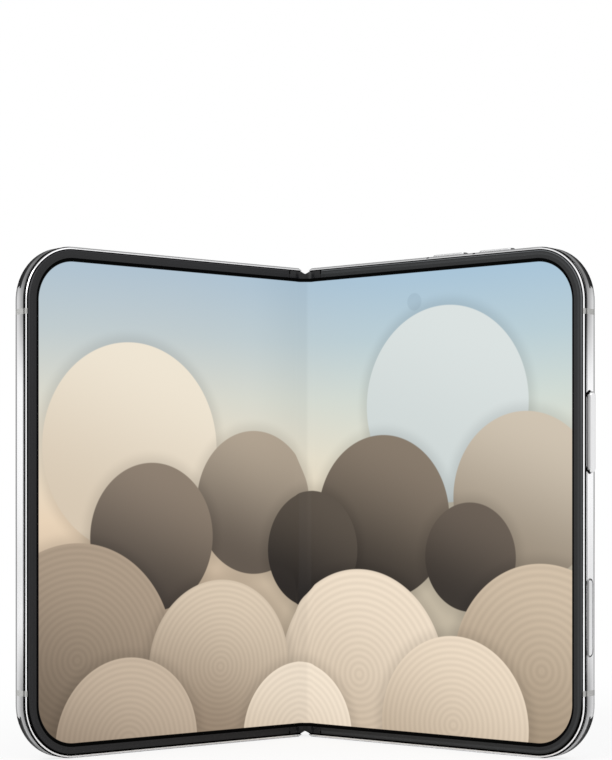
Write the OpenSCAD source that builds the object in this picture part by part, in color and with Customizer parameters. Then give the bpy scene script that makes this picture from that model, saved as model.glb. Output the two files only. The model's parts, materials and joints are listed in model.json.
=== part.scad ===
// Foldable smartphone with two leaves on one spine, stood upright and part open.
// The origin is at the middle of the footprint, on the floor. +Z runs up along the hinge, +X to
// the right, and the screen faces -Y. Each leaf is drawn flat, for the right side, with its screen
// in the plane y = 0 and its rear towards +Y, and is then turned about its own hinge shaft.

/* [Overall size] */
// Height of each leaf along the hinge
body_h = 120.1; // [119:0.1:124]
// Width of each leaf, middle of the hinge to outer edge
leaf_w = 83.8; // [83:0.2:88]
// Thickness of each leaf, screen face to rear face
body_t = 4.8; // [4.8:0.1:5.4]
// Radius of the outer corners
corner_r = 13.2; // [12:0.2:15]
// Turn of each leaf away from flat, as modelled, in degrees
leaf_turn = 39.2; // [0:0.2:60]

/* [Frame] */
// Wall of the frame
wall_t = 1.0; // [0.9:0.05:1.2]
// Width of the front lip
lip_w = 0.6; // [0.5:0.05:0.7]
// Chamfer on the outer edge of the lip
lip_chamfer = 0.35; // [0.2:0.05:0.4]
// Width of the dark line behind the chamfer
line_w = 0.6; // [0.3:0.05:0.7]
// Depth of that line
line_d = 0.2; // [0.1:0.05:0.4]
// Rounding of the rear edge
rear_round = 0.8; // [0.5:0.1:0.9]
// Width of the ledge that carries the rear cover
cover_ledge_w = 0.8; // [0.5:0.1:1.2]
// Thickness of that ledge
cover_ledge_t = 0.45; // [0.3:0.05:0.6]
// End of the frame's front tongue, from the middle of the hinge
tongue_end = 1.65; // [1.6:0.05:2.4]
// Slant that takes the corner off that tongue
tongue_slant = 0.5; // [0.2:0.05:0.6]
// Play between the two rear rails when flat, for one leaf
rail_play = 0.1; // [0.05:0.05:0.3]
// Thickness of the rail that covers the spine
rail_t = 0.85; // [0.7:0.05:1]

/* [Front rim and screen] */
// Thickness of the screen
screen_t = 0.3; // [0.25:0.05:0.35]
// Bond line behind the screen
screen_bond = 0.05; // [0.02:0.01:0.1]
// Width of the soft rim round the screen
rim_w = 2.6; // [2:0.1:3.2]
// Height of the rim over the screen
rim_raise = 0.3; // [0.2:0.05:0.5]
// Gap between the frame lip and the rim
rim_gap = 0.2; // [0.1:0.05:0.3]
// How far the rim reaches over the screen
rim_overlap = 0.75; // [0.4:0.05:1]
// Bevel on the outer edge of the rim
rim_bevel = 0.25; // [0.1:0.05:0.3]
// Seam in the rim, from the middle of the hinge
rim_seam = 5.8; // [4.6:0.1:7]
// Play in that seam
seam_gap = 0.1; // [0.03:0.01:0.2]
// Depth of the dip in the rim over the middle of the hinge
rim_dip = 0.65; // [0.3:0.05:0.9]
// Half width of that dip
rim_dip_w = 1.3; // [1:0.1:1.4]
// Half length of the flexible stretch of the screen
fold_reach = 3.8; // [3.2:0.1:4.2]
// Thickness of the glued middle plate
midplate_t = 0.5; // [0.4:0.05:0.6]
// Thickness of the rear glass
glass_t = 0.6; // [0.5:0.05:0.8]

/* [Hinge] */
// Depth of the hinge shafts behind the screen
axis_y = 1.1; // [1.05:0.05:1.3]
// Gap between the two rims when closed
close_gap = 0.3; // [0.1:0.05:0.6]
// Running gap between spine and leaves
spine_gap = 0.1; // [0.05:0.05:0.3]
// Wall of the spine cover
spine_wall = 0.55; // [0.4:0.05:0.7]
// How far the spine ends lie below the ends of the leaves
spine_inset = 1.3; // [0.4:0.05:1.5]
// Distance between hinge modules
module_pitch = 37.7; // [36:0.1:40]
// Length of a hinge module
module_len = 24; // [24:0.5:26]
// Width of a hinge arm
arm_w = 9; // [8:0.1:9.2]
// Reach of a hinge arm into its leaf
arm_reach = 12; // [11.6:0.1:13]
// Radius of the hinge shafts
shaft_r = 0.4; // [0.35:0.01:0.42]
// Running gap round a shaft
shaft_play = 0.03; // [0.02:0.01:0.05]
// Radius of a hinge arm's hub
hub_r = 0.6; // [0.58:0.01:0.62]
// Tooth size of the timing gears, pitch diameter over teeth
gear_module = 0.1; // [0.1:0.01:0.1]
// Teeth on a geared shaft
shaft_teeth = 10; // [10:1:10]
// Teeth on a timing gear between the shafts
idler_teeth = 17; // [16:1:17]

/* [Keys and ports] */
// Length of the power key
power_len = 18.8; // [14:0.2:22]
// Height of the power key over the middle of the frame
power_z = 16.3; // [12:0.1:20]
// Length of the capture key
capture_len = 17.8; // [14:0.2:20]
// Depth of the capture key below the middle of the frame
capture_z = -26.7; // [-30:0.1:-20]
// Length of each volume key
volume_len = 9.8; // [7:0.1:11]
// Place of the lower volume key along the top edge
volume_down_x = 44.4; // [42:0.1:46]
// Place of the upper volume key along the top edge
volume_up_x = 58; // [57.6:0.1:60]
// Width of every key
key_w = 2.2; // [2:0.1:2.4]
// How far the power key stands proud
key_proud = 0.85; // [0.4:0.05:1]
// How far the volume keys stand proud
volume_proud = 0.55; // [0.4:0.05:1]
// How far the capture key stands proud
capture_proud = 0.05; // [0:0.01:0.1]
// Travel of every key
key_travel = 0.25; // [0.15:0.01:0.3]
// Gap round a key
key_gap = 0.16; // [0.08:0.01:0.2]
// Width of the data socket's mouth
socket_w = 8.34; // [8.34:0.01:8.94]
// Height of the data socket's mouth
socket_h = 2.56; // [2.5:0.01:2.6]
// Depth of the data socket
socket_depth = 7.2; // [6.4:0.1:7.4]
// Wall of the data socket's shell
socket_wall = 0.25; // [0.2:0.01:0.3]
// Radius of a loudspeaker hole
speaker_hole_r = 0.55; // [0.4:0.05:0.7]
// Distance between loudspeaker holes
speaker_pitch = 2.2; // [1.8:0.1:2.4]

/* [Cameras] */
// Place of the rear camera plateau across the leaf
plateau_x = 49; // [46:0.5:50]
// Place of the rear camera plateau below the top edge
plateau_drop = 21.1; // [20:0.1:22]
// Length of the camera plateau
plateau_len = 46; // [44:0.5:48]
// Width of the camera plateau
plateau_w = 18; // [17:0.1:19]
// Height of the camera plateau
plateau_t = 1.5; // [1:0.1:2.4]
// Distance between the two rear lenses
lens_pitch = 27; // [26:0.1:28]
// Radius of a lens ring
lens_ring_r = 6.8; // [6:0.1:7.4]
// Wall of a lens ring
lens_ring_wall = 1.2; // [0.8:0.1:1.6]
// Height of a lens ring over the plateau
lens_ring_t = 0.8; // [0.4:0.1:1.2]
// Place of the camera under the screen across the leaf
inner_camera_x = 35.1; // [34:0.1:36]
// Place of that camera below the top edge
inner_camera_drop = 10.7; // [10.4:0.1:11]
// Radius of that camera's window
inner_camera_r = 2.2; // [1.6:0.1:2.6]

/* [Hidden] */
$fn = 48;

// Depths behind the screen face, on a flat leaf
plate_y = screen_t + screen_bond;
bay_y0 = plate_y + midplate_t;
cover_y = body_t - glass_t;
ledge_y = cover_y - cover_ledge_t;
bay_y1 = ledge_y + 0.1;

// Hinge geometry
axis_x = axis_y + rim_raise + close_gap / 2;
scoop_r = body_t - rail_t - axis_y;
spine_r = scoop_r - spine_gap;
spine_in_r = spine_r - spine_wall;
base_r = spine_in_r - shaft_play;
tongue_t = axis_y - spine_gap;
scoop_x = axis_x + scoop_r;
rail_w = scoop_x + 0.45;
hub_front = axis_y - hub_r;
bar_half_w = axis_x - hub_r - 0.2;
bar_t = 0.45;
base_front_w = axis_x + shaft_r + 0.15;
module_z = [for (k = [-1:1]) body_h / 2 + k * module_pitch];
arm_slot = arm_w + 0.3;
ear_t = 1.75;
outer_ear_t = 2.4;
side_slot = (module_len - arm_slot) / 2 - ear_t - outer_ear_t;
side_slot_z = arm_slot / 2 + ear_t;
arm_front = plate_y + 0.15;
arm_rear = tongue_t;
neck_front = axis_y - 0.25;
neck_rear = axis_y + 0.35;
neck_end = axis_x + spine_in_r - 0.1;
arm_seat_gap = 0.02;
pad_t = 0.7;
pad_margin = 1.5;
arm_screw_x = [arm_reach - 5, arm_reach - 1.7];
arm_screw_r = 0.55;
arm_screw_head_r = 1;
arm_screw_head_t = 0.25;
base_screw_r = 0.45;
base_screw_head_r = 0.8;
base_screw_z = module_len / 2 - 1.2;

// Timing gears
shaft_gear_r = gear_module * shaft_teeth / 2;
idler_r = gear_module * idler_teeth / 2;
idler_y = axis_y + sqrt(pow(shaft_gear_r + idler_r, 2) - pow(axis_x - idler_r, 2));
axle_r = 0.35;
gear_w = side_slot - 0.2;
gear_z = body_h / 2 + side_slot_z + (side_slot - gear_w) / 2;

// Front rim
rim_out = lip_w + rim_gap;
rim_in = rim_out + rim_w;
screen_in = rim_in - rim_overlap;
cover_inset = wall_t + 0.05;

// Bands and guards on the outer edge
antenna_z = 15.85;
antenna_w = 1.3;
antenna_d = wall_t * 0.7;
guard_y = body_t - 1.9;
guard_d = 0.6;
guard_end = 10.5;
guard_slant = 0.75;
guard_gap = 0.02;

// Keys and ports
key_y = body_t / 2 - 0.1;
key_flange_t = 0.35;
key_ear = 0.7;
port_y = (bay_y0 + ledge_y) / 2 + 0.15;
socket_x = leaf_w / 2;
socket_out_w = socket_w + 2 * socket_wall;
socket_out_h = socket_h + 2 * socket_wall;
socket_back_t = 0.6;
tongue_w = 6.6;

// Cameras
plateau_z = body_h - plateau_drop;
inner_camera_z = body_h - inner_camera_drop;
lens_bore_r = lens_ring_r - lens_ring_wall - 0.8;
camera_box = 11;
cover_camera_x = leaf_w / 2 + 2;
cover_camera_z = body_h - 9.5;
earpiece_x = cover_camera_x - 17;

// The footprint is centred on the origin, from the outer lips back to the spine or the rails
leaf_front = axis_y - (leaf_w - lip_chamfer - axis_x) * sin(leaf_turn) - axis_y * cos(leaf_turn);
rail_back = axis_y + (axis_x - rail_play) * sin(leaf_turn) + (body_t - axis_y) * cos(leaf_turn);
leaf_back = max(axis_y + spine_r, rail_back);
hinge_back = -(leaf_front + leaf_back) / 2;

// Placing and bending

// Moves the hinge back from the origin
module in_frame() {
  translate([0, hinge_back, 0]) children();
}

// Turns a flat leaf, drawn for the right side, into place; side is 1 for right and -1 for left
module leaf(side) {
  in_frame()
    mirror([side < 0 ? 1 : 0, 0, 0])
      translate([axis_x, axis_y, 0])
        rotate([0, 0, -leaf_turn])
          translate([-axis_x, -axis_y, 0])
            children();
}

// Extrudes an outline drawn in x and z through the depth y0 to y1
module slab(y0, y1) {
  translate([0, y1, 0])
    rotate([90, 0, 0])
      linear_extrude(y1 - y0)
        children();
}

// Extrudes an outline drawn in x and y through the height z0 to z1
module column(z0, z1) {
  translate([0, 0, z0])
    linear_extrude(z1 - z0)
      children();
}

// A block from one corner to the other
module block(a, b) {
  translate(a)
    cube([b[0] - a[0], b[1] - a[1], b[2] - a[2]]);
}

// A cylinder along the depth, from y0 to y1
module depth_rod(x, z, r, y0, y1) {
  translate([x, y0, z])
    rotate([-90, 0, 0])
      cylinder(h = y1 - y0, r = r);
}

// Outline of a leaf, set in from its three free edges, starting at from_x
module leaf_outline(inset, from_x) {
  r = corner_r - inset;
  corner_x = leaf_w - corner_r;
  difference() {
    translate([from_x, inset])
      square([leaf_w - inset - from_x, body_h - 2 * inset]);
    for (low = [0, 1])
      translate([corner_x, low * (body_h - corner_r) + (1 - low) * 0])
        square([corner_r + 1, corner_r]);
  }
  for (z = [corner_r, body_h - corner_r])
    intersection() {
      translate([corner_x, z]) circle(r, $fn = 96);
      translate([corner_x, z < body_h / 2 ? 0 : z])
        square([corner_r + 1, corner_r]);
    }
}

// Share of the leaf's turn that the flexible screen has made at distance s from the middle
function fold_share(s) = let(t = min(max(s / fold_reach, 0), 1)) t * t * (3 - 2 * t);

// Place of a point of the flexible layer, s across and y deep when flat
function bent_right(s, y) =
  let(turn = leaf_turn * fold_share(s), dx = s - axis_x, dy = y - axis_y)
  [axis_x + dx * cos(turn) + dy * sin(turn), axis_y - dx * sin(turn) + dy * cos(turn)];
function bent(s, y) = let(p = bent_right(abs(s), y)) [s < 0 ? -p[0] : p[0], p[1]];

// Cross-section of a flexible layer; path lists [s, y] from the middle outwards
module bent_layer(path, t) {
  n = len(path);
  way = [for (i = [1:n - 1]) [-path[n - i][0], path[n - i][1]], for (p = path) p];
  front = [for (p = way) bent(p[0], p[1])];
  back = [for (i = [1:len(way)]) let(p = way[len(way) - i]) bent(p[0], p[1] + t)];
  polygon(concat(front, back));
}

function fold_path(reach, y) = [for (i = [0:fold_steps]) [reach * i / fold_steps, y]];
fold_steps = 16;

// Frame

// Cross-section of the frame: u inwards from the outer edge, then depth
rear_arc = [
  for (i = [0:6])
    [rear_round * (1 - sin(15 * i)), body_t - rear_round * (1 - cos(15 * i))]
];
frame_profile = concat(
  [[lip_chamfer, 0], [lip_w, 0], [lip_w, plate_y], [wall_t, plate_y], [wall_t, ledge_y]],
  [[wall_t + cover_ledge_w, ledge_y], [wall_t + cover_ledge_w, cover_y], [wall_t, cover_y]],
  [[wall_t, body_t]],
  rear_arc,
  [[0, lip_chamfer + line_w], [line_d, lip_chamfer + line_w], [line_d, lip_chamfer]],
  [[0, lip_chamfer]]
);

// Sweeps a cross-section along the outer edge between two heights
module edge_sweep_side(profile, z0, z1) {
  column(z0, z1)
    polygon([for (p = profile) [leaf_w - p[0], p[1]]]);
}

// Sweeps a cross-section along the bottom edge, and along the top edge by mirror
module edge_sweep_bottom(profile, x0, x1) {
  translate([x0, 0, 0])
    rotate([90, 0, 90])
      linear_extrude(x1 - x0)
        polygon([for (p = profile) [p[1], p[0]]]);
}

// Sweeps a cross-section round the bottom outer corner
module edge_sweep_corner(profile) {
  translate([leaf_w - corner_r, 0, corner_r])
    rotate([90, 0, 0])
      mirror([0, 1, 0])
        mirror([0, 0, 1])
          rotate_extrude(angle = 90, $fn = 96)
            polygon([for (p = profile) [corner_r - p[0], p[1]]]);
}

// Repeats its children mirrored about the middle height
module top_and_bottom() {
  children();
  translate([0, 0, body_h])
    mirror([0, 0, 1])
      children();
}

// A cross-section swept round the three free edges, from x0
module edge_sweep(profile, x0) {
  edge_sweep_side(profile, corner_r, body_h - corner_r);
  top_and_bottom() {
    edge_sweep_bottom(profile, x0, leaf_w - corner_r);
    edge_sweep_corner(profile);
  }
}

// The room that the spine needs inside a leaf
module spine_room() {
  column(-1, body_h + 1)
    intersection() {
      translate([axis_x, axis_y]) circle(scoop_r, $fn = 96);
      translate([-scoop_r, axis_y - spine_gap]) square([3 * scoop_r, 2 * scoop_r]);
    }
  block([-1, tongue_t, -1], [axis_x, body_t - rail_t, body_h + 1]);
  block([-1, tongue_t, -1], [scoop_x, axis_y + 0.01, body_h + 1]);
}

// The corner guard's body, used to cut its seat too
module guard_shape(gap) {
  guard_arc = [
    for (p = rear_arc)
      if (p[0] <= guard_d) p
  ];
  profile = concat(
    [[0, guard_y - gap], [guard_d + gap, guard_y - gap], [guard_d + gap, body_t]],
    guard_arc
  );
  intersection() {
    union() {
      edge_sweep_corner(profile);
      edge_sweep_side(profile, corner_r, corner_r + guard_slant);
    }
    translate([leaf_w - corner_r - 1, 0, 0])
      rotate([90, 0, 90])
        linear_extrude(corner_r + 2)
          polygon([
            [guard_y - 1, -1], [body_t + 1, -1], [body_t + 1, guard_end + gap],
            [body_t - 0.4, guard_end + gap], [guard_y, guard_end - guard_slant + gap],
            [guard_y - 1, guard_end - guard_slant + gap]
          ]);
    translate([0, 0, -1])
      linear_extrude(corner_r + 3)
        polygon([
          [leaf_w + 1, guard_y - 1], [leaf_w + 1, body_t + 1],
          [leaf_w - guard_end - gap, body_t + 1], [leaf_w - guard_end - gap, body_t - 0.4],
          [leaf_w - guard_end + guard_slant - gap, guard_y],
          [leaf_w - guard_end + guard_slant - gap, guard_y - 1]
        ]);
  }
}

// A leaf's frame before its ports are cut
module frame_body() {
  difference() {
    union() {
      edge_sweep(frame_profile, rail_play);
      block([rail_play, axis_y, wall_t - 0.1], [rail_w, body_t, body_h - wall_t + 0.1]);
      block(
        [rail_w - 0.1, ledge_y, wall_t - 0.1],
        [rail_w + cover_ledge_w, cover_y, body_h - wall_t + 0.1]
      );
    }
    spine_room();
    block([-1, -1, -1], [tongue_end, axis_y + 0.01, body_h + 1]);
    top_and_bottom()
      slab(-1, axis_y + 0.01)
        polygon([
          [tongue_end - 0.5, -1], [tongue_end - 0.5, tongue_slant], [tongue_end, tongue_slant],
          [tongue_end + 1.4 * tongue_slant, 0], [tongue_end + 1.4 * tongue_slant, -1]
        ]);
    block([-1, -1, rim_out - 0.05], [fold_reach + 0.15, bay_y0, body_h - rim_out + 0.05]);
    for (z = [antenna_z, body_h - antenna_z])
      block(
        [leaf_w - antenna_d, -1, z - antenna_w / 2],
        [leaf_w + 1, body_t + 1, z + antenna_w / 2]
      );
    top_and_bottom() guard_shape(guard_gap);
  }
}

// A row of loudspeaker holes through the bottom wall
module speaker_holes(x0, count) {
  for (i = [0:count - 1])
    translate([x0 + i * speaker_pitch, port_y, -1])
      cylinder(h = wall_t + 2, r = speaker_hole_r, $fn = 24);
}

// A slot with round ends, along x and as wide in y as w, cut from z0 to z1
module slot_hole(len, w, z0, z1) {
  translate([0, 0, z0])
    linear_extrude(z1 - z0) {
      square([len - w, w], center = true);
      for (e = [-1, 1])
        translate([e * (len - w) / 2, 0]) circle(w / 2);
    }
}

// Puts a key's own frame, x along and z outwards, on the outer edge
module on_outer_edge(z) {
  translate([leaf_w, key_y, z])
    rotate([0, 90, 0])
      children();
}

// Puts a key's own frame on the top edge
module on_top_edge(x) {
  translate([x, key_y, body_h])
    children();
}

module key_hole(len) {
  slot_hole(len + 2 * key_gap, key_w + 2 * key_gap, -wall_t - 1, 1);
}

// Rounded key: a pill with a soft top edge, a flange behind the wall and a stem
module key_body(len, proud) {
  r = min(0.3, key_w / 6);
  half = [
    [0, -wall_t - 0.05], [key_w / 2, -wall_t - 0.05], [key_w / 2, proud - r],
    [key_w / 2 - r * 0.3, proud - r * 0.3], [key_w / 2 - r, proud], [0, proud]
  ];
  for (e = [-1, 1])
    translate([e * (len - key_w) / 2, 0, 0])
      rotate([0, 0, e * -90])
        rotate_extrude(angle = 180)
          polygon(half);
  translate([-(len - key_w) / 2, 0, 0])
    rotate([90, 0, 90])
      linear_extrude(len - key_w)
        polygon(concat(half, [for (i = [1:len(half) - 2]) let(p = half[len(half) - 1 - i]) [-p[0], p[1]]]));
  block(
    [-len / 2 - key_ear, -key_w / 2, -wall_t - 0.05 - key_flange_t],
    [len / 2 + key_ear, key_w / 2, -wall_t - 0.05]
  );
  block(
    [-1, -0.8, -wall_t - 0.05 - key_flange_t - 0.3],
    [1, 0.8, -wall_t - 0.05 - key_flange_t]
  );
}

// The switch behind a key, one travel away from the stem
module key_switch(len) {
  z = -wall_t - 0.05 - key_flange_t - 0.3 - key_travel;
  block([-1.6, -1.1, z - 0.5], [1.6, 1.1, z]);
  block([-len / 2, -1.2, z - 0.7], [len / 2, 1.2, z - 0.5]);
}

module left_frame() {
  color("silver")
    leaf(-1)
      difference() {
        frame_body();
        speaker_holes(leaf_w / 2 - 3 * speaker_pitch, 7);
      }
}

module right_frame() {
  color("silver")
    leaf(1)
      difference() {
        frame_body();
        on_outer_edge(body_h / 2 + power_z) key_hole(power_len);
        on_outer_edge(body_h / 2 + capture_z) key_hole(capture_len);
        for (x = [volume_down_x, volume_up_x])
          on_top_edge(x) key_hole(volume_len);
        translate([socket_x, port_y, 0]) {
          slot_hole(socket_w + 0.2, socket_h + 0.2, -1, wall_t + 1);
          slot_hole(socket_out_w + 0.1, socket_out_h + 0.1, wall_t, wall_t + socket_depth);
        }
        speaker_holes(socket_x + 10.5, 6);
        for (x = [socket_x - 7, socket_x + 7])
          translate([x, port_y, -1]) cylinder(h = wall_t + 2, r = 0.8, $fn = 24);
      }
}

module antenna_bands(side) {
  color("gray")
    leaf(side)
      for (z = [antenna_z, body_h - antenna_z])
        intersection() {
          edge_sweep_side(frame_profile, z - antenna_w / 2, z + antenna_w / 2);
          block([leaf_w - antenna_d, -1, 0], [leaf_w + 1, body_t + 1, body_h]);
        }
}

module corner_guards(side) {
  color("dimgray")
    leaf(side)
      top_and_bottom() guard_shape(0);
}

// Front rim and screen

rim_profile = [
  [rim_out, plate_y], [rim_out, rim_bevel - rim_raise], [rim_out + rim_bevel, -rim_raise],
  [rim_in - 0.15, -rim_raise], [rim_in, 0.15 - rim_raise], [rim_in, 0], [screen_in, 0],
  [screen_in, plate_y]
];

module rim(side) {
  color("darkslategray")
    leaf(side)
      edge_sweep(rim_profile, rim_seam + seam_gap / 2);
}

module screen(side) {
  color("lightsteelblue")
    leaf(side)
      slab(0, screen_t)
        leaf_outline(screen_in + 0.03, fold_reach);
}

module fold_screen() {
  color("steelblue")
    in_frame()
      column(screen_in + 0.03, body_h - screen_in - 0.03)
        bent_layer(fold_path(fold_reach, 0), screen_t);
}

module fold_trims() {
  reach = rim_seam - seam_gap / 2;
  color("darkslategray")
    in_frame()
      top_and_bottom() {
        difference() {
          column(rim_out, screen_in)
            bent_layer(fold_path(reach, -rim_raise), rim_raise + screen_t);
          slab(-2, 3)
            polygon([
              [-rim_dip_w, -1], [-rim_dip_w, rim_out], [0, rim_out + rim_dip],
              [rim_dip_w, rim_out], [rim_dip_w, -1]
            ]);
        }
        column(screen_in, rim_in)
          bent_layer(fold_path(reach, -rim_raise), rim_raise - 0.02);
      }
}

// Middle plate that carries the screen, with a pocket and a pad for each hinge arm

module midplate_body() {
  pocket_x = arm_reach + 0.2;
  difference() {
    union() {
      slab(plate_y, bay_y0)
        leaf_outline(wall_t + 0.03, fold_reach + 0.1);
      for (z = module_z)
        block(
          [rail_w + 0.1, bay_y0, z - arm_slot / 2 - pad_margin],
          [pocket_x + pad_margin, arm_rear + arm_seat_gap + pad_t, z + arm_slot / 2 + pad_margin]
        );
    }
    for (z = module_z) {
      block(
        [fold_reach, plate_y - 1, z - arm_slot / 2],
        [pocket_x, arm_rear + arm_seat_gap, z + arm_slot / 2]
      );
      for (x = arm_screw_x, dz = [-1, 1])
        depth_rod(x, z + dz * arm_w / 4, arm_screw_r + 0.02, 0, body_t);
    }
  }
}

// Standoffs that carry the boards
module standoffs(points) {
  for (p = points)
    depth_rod(p[0], p[1], 1.4, bay_y0, board_y);
}
board_y = bay_y0 + 0.45;
board_t = 0.6;

// Ribs round a battery
module battery_ribs(x0, x1, z0, z1) {
  rib = 0.5;
  slab(bay_y0, bay_y0 + 1.2)
    difference() {
      translate([x0 - rib - 0.2, z0 - rib - 0.2])
        square([x1 - x0 + 2 * rib + 0.4, z1 - z0 + 2 * rib + 0.4]);
      translate([x0 - 0.2, z0 - 0.2]) square([x1 - x0 + 0.4, z1 - z0 + 0.4]);
    }
}

battery_x0 = arm_reach + 3;
left_battery_box = [battery_x0, leaf_w - 8, 27, body_h - 29];
right_battery_box = [battery_x0, leaf_w - 10, 27, body_h - 36];

module left_midplate() {
  color("slategray")
    leaf(-1) {
      midplate_body();
      battery_ribs(left_battery_box[0], left_battery_box[1], left_battery_box[2], left_battery_box[3]);
      standoffs(left_standoffs);
    }
}

module right_midplate() {
  color("slategray")
    leaf(1)
      difference() {
        union() {
          midplate_body();
          battery_ribs(
            right_battery_box[0], right_battery_box[1], right_battery_box[2], right_battery_box[3]
          );
          standoffs(concat(main_standoffs, lower_standoffs));
        }
        depth_rod(inner_camera_x, inner_camera_z, inner_camera_r + 0.2, 0, body_t);
      }
}

left_standoffs = [[battery_x0 + 3, body_h - 22], [leaf_w - 12, body_h - 22], [battery_x0 + 3, body_h - 7]];
main_standoffs = [[battery_x0 + 3, body_h - 29], [leaf_w - 8, body_h - 29], [battery_x0 + 3, body_h - 7]];
lower_standoffs = [[battery_x0 + 8, 20], [leaf_w - 16, 20]];

// Hinge

// Outline of the two lobes of the spine, from the shafts back
module spine_outline(r, front) {
  difference() {
    union() {
      for (e = [-1, 1])
        translate([e * axis_x, axis_y]) circle(r, $fn = 96);
      translate([-axis_x, axis_y - r]) square([2 * axis_x, 2 * r]);
    }
    translate([-2 * axis_x - r, front - 2 * r]) square([4 * axis_x + 2 * r, 2 * r]);
  }
}

module spine_cover() {
  color("gainsboro")
    in_frame()
      difference() {
        column(spine_inset, body_h - spine_inset)
          difference() {
            spine_outline(spine_r, axis_y);
            spine_outline(spine_in_r, axis_y - 1);
          }
        for (z = module_z, dz = [-1, 1])
          depth_rod(0, z + dz * base_screw_z, base_screw_r + 0.02, axis_y, axis_y + spine_in_r + 0.35);
      }
}

module spine_end_caps() {
  color("gainsboro")
    in_frame()
      top_and_bottom()
        column(spine_inset, spine_inset + 1)
          spine_outline(base_r, axis_y + 0.05);
}

// A hinge base: ears with shaft bores, a wide slot for the arms and two side slots
module hinge_base(z, geared) {
  slot_floor = axis_y + 0.9;
  color("darkgray")
    in_frame()
      translate([0, 0, z])
        difference() {
          column(-module_len / 2, module_len / 2)
            union() {
              spine_outline(base_r, axis_y);
              translate([-base_front_w, hub_front])
                square([2 * base_front_w, axis_y - hub_front + 0.2]);
            }
          block([-bar_half_w - 0.05, -1, -module_len], [bar_half_w + 0.05, hub_front + bar_t + 0.05, module_len]);
          block([-2 * scoop_r, -1, -arm_slot / 2], [2 * scoop_r, axis_y + hub_r + 0.15, arm_slot / 2]);
          for (e = [-1, 1]) {
            translate([e * axis_x, axis_y, -module_len]) cylinder(h = 2 * module_len, r = shaft_r + shaft_play);
            if (geared) {
              translate([e * axis_x, axis_y, side_slot_z]) cylinder(h = side_slot, r = shaft_gear_r + 0.2);
              translate([e * idler_r, idler_y, side_slot_z]) cylinder(h = side_slot, r = idler_r + 0.13);
              translate([e * idler_r, idler_y, side_slot_z - 0.7])
                cylinder(h = side_slot + 1.4, r = axle_r + shaft_play);
            }
          }
          if (!geared)
            for (dz = [-side_slot_z - side_slot, side_slot_z])
              block([-base_front_w - 1, -1, dz], [base_front_w + 1, slot_floor, dz + side_slot]);
          for (dz = [-1, 1]) {
            depth_rod(0, dz * base_screw_z, base_screw_r + 0.02, 0, 2 * body_t);
            depth_rod(0, dz * base_screw_z, base_screw_head_r + 0.05, 0, slot_floor);
          }
        }
}

module base_screws() {
  slot_floor = axis_y + 0.9;
  color("gray")
    in_frame()
      for (z = module_z, dz = [-1, 1]) {
        depth_rod(0, z + dz * base_screw_z, base_screw_r, slot_floor - 0.2, axis_y + spine_in_r + 0.3);
        depth_rod(0, z + dz * base_screw_z, base_screw_head_r, slot_floor - 0.35, slot_floor);
      }
}

module fold_support_bar() {
  color("darkgray")
    in_frame()
      block([-bar_half_w, hub_front, rim_in + 0.6], [bar_half_w, hub_front + bar_t, body_h - rim_in - 0.6]);
}

// Sprung clips round the upper and lower shafts, whose tails press on the slot floor
module friction_clips() {
  clip_in = shaft_r + 0.02;
  clip_out = hub_r - 0.03;
  color("goldenrod")
    in_frame()
      for (z = [module_z[0], module_z[2]], dz = [-side_slot_z - side_slot, side_slot_z], e = [-1, 1])
        column(z + dz + 0.1, z + dz + side_slot - 0.1) {
          difference() {
            translate([e * axis_x, axis_y]) circle(clip_out);
            translate([e * axis_x, axis_y]) circle(clip_in);
            translate([e > 0 ? axis_x : -axis_x - 1, axis_y]) square([1, 0.3]);
          }
          translate([e > 0 ? axis_x - clip_out : -axis_x + clip_in, axis_y])
            square([clip_out - clip_in, 0.9]);
        }
}

// Spur gear outline with straight-flanked teeth; phase is the angle of one tooth's middle
module gear_outline(teeth, phase) {
  r = gear_module * teeth / 2;
  tip = r + 0.85 * gear_module;
  root = r - 1.1 * gear_module;
  pitch = 360 / teeth;
  polygon([
    for (i = [0:teeth - 1], k = [-2, -1, 1, 2])
      let(
        share = abs(k) == 2 ? 0.36 : 0.12,
        rad = abs(k) == 2 ? root : tip,
        a = phase + (i + sign(k) * share) * pitch
      )
      [rad * cos(a), rad * sin(a)]
  ]);
}

// Phase that puts a gear in mesh with one of known phase, seen along the angle from it to its mate
function meshed(phase, teeth, mate_teeth, toward) =
  toward + 180 + (180 - (phase - toward) * teeth) / mate_teeth;

shaft_to_idler = atan2(idler_y - axis_y, idler_r - axis_x);
right_shaft_phase = shaft_to_idler - leaf_turn;
right_idler_phase = meshed(right_shaft_phase, shaft_teeth, idler_teeth, shaft_to_idler);
left_idler_phase = meshed(right_idler_phase, idler_teeth, idler_teeth, 180);
left_shaft_phase = meshed(left_idler_phase, idler_teeth, shaft_teeth, -shaft_to_idler);

// A timing gear with its axle
module timing_gear(x, phase) {
  color("silver")
    in_frame()
      translate([x, idler_y, 0]) {
        column(gear_z, gear_z + gear_w) gear_outline(idler_teeth, phase);
        translate([0, 0, body_h / 2 + side_slot_z - 0.6])
          cylinder(h = side_slot + 1.2, r = axle_r);
      }
}

// Three shafts of one side; the middle one has teeth cut on it
module hinge_shafts(x, phase) {
  color("silver")
    in_frame()
      translate([x, axis_y, 0]) {
        for (z = module_z)
          translate([0, 0, z - module_len / 2 + 0.4])
            cylinder(h = module_len - 0.8, r = shaft_r);
        column(gear_z, gear_z + gear_w) gear_outline(shaft_teeth, phase);
      }
}

// Cross-section of a hinge arm: hub, low neck under the fold, and a flat foot
module arm_outline() {
  difference() {
    union() {
      translate([axis_x, axis_y]) circle(hub_r);
      polygon([
        [axis_x, neck_front], [neck_end - 0.45, neck_front], [neck_end - 0.45, arm_front],
        [arm_reach, arm_front], [arm_reach, arm_rear], [neck_end, arm_rear],
        [neck_end - 0.25, neck_rear], [axis_x, neck_rear]
      ]);
    }
    translate([axis_x, axis_y]) circle(shaft_r + 0.02);
  }
}

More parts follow.
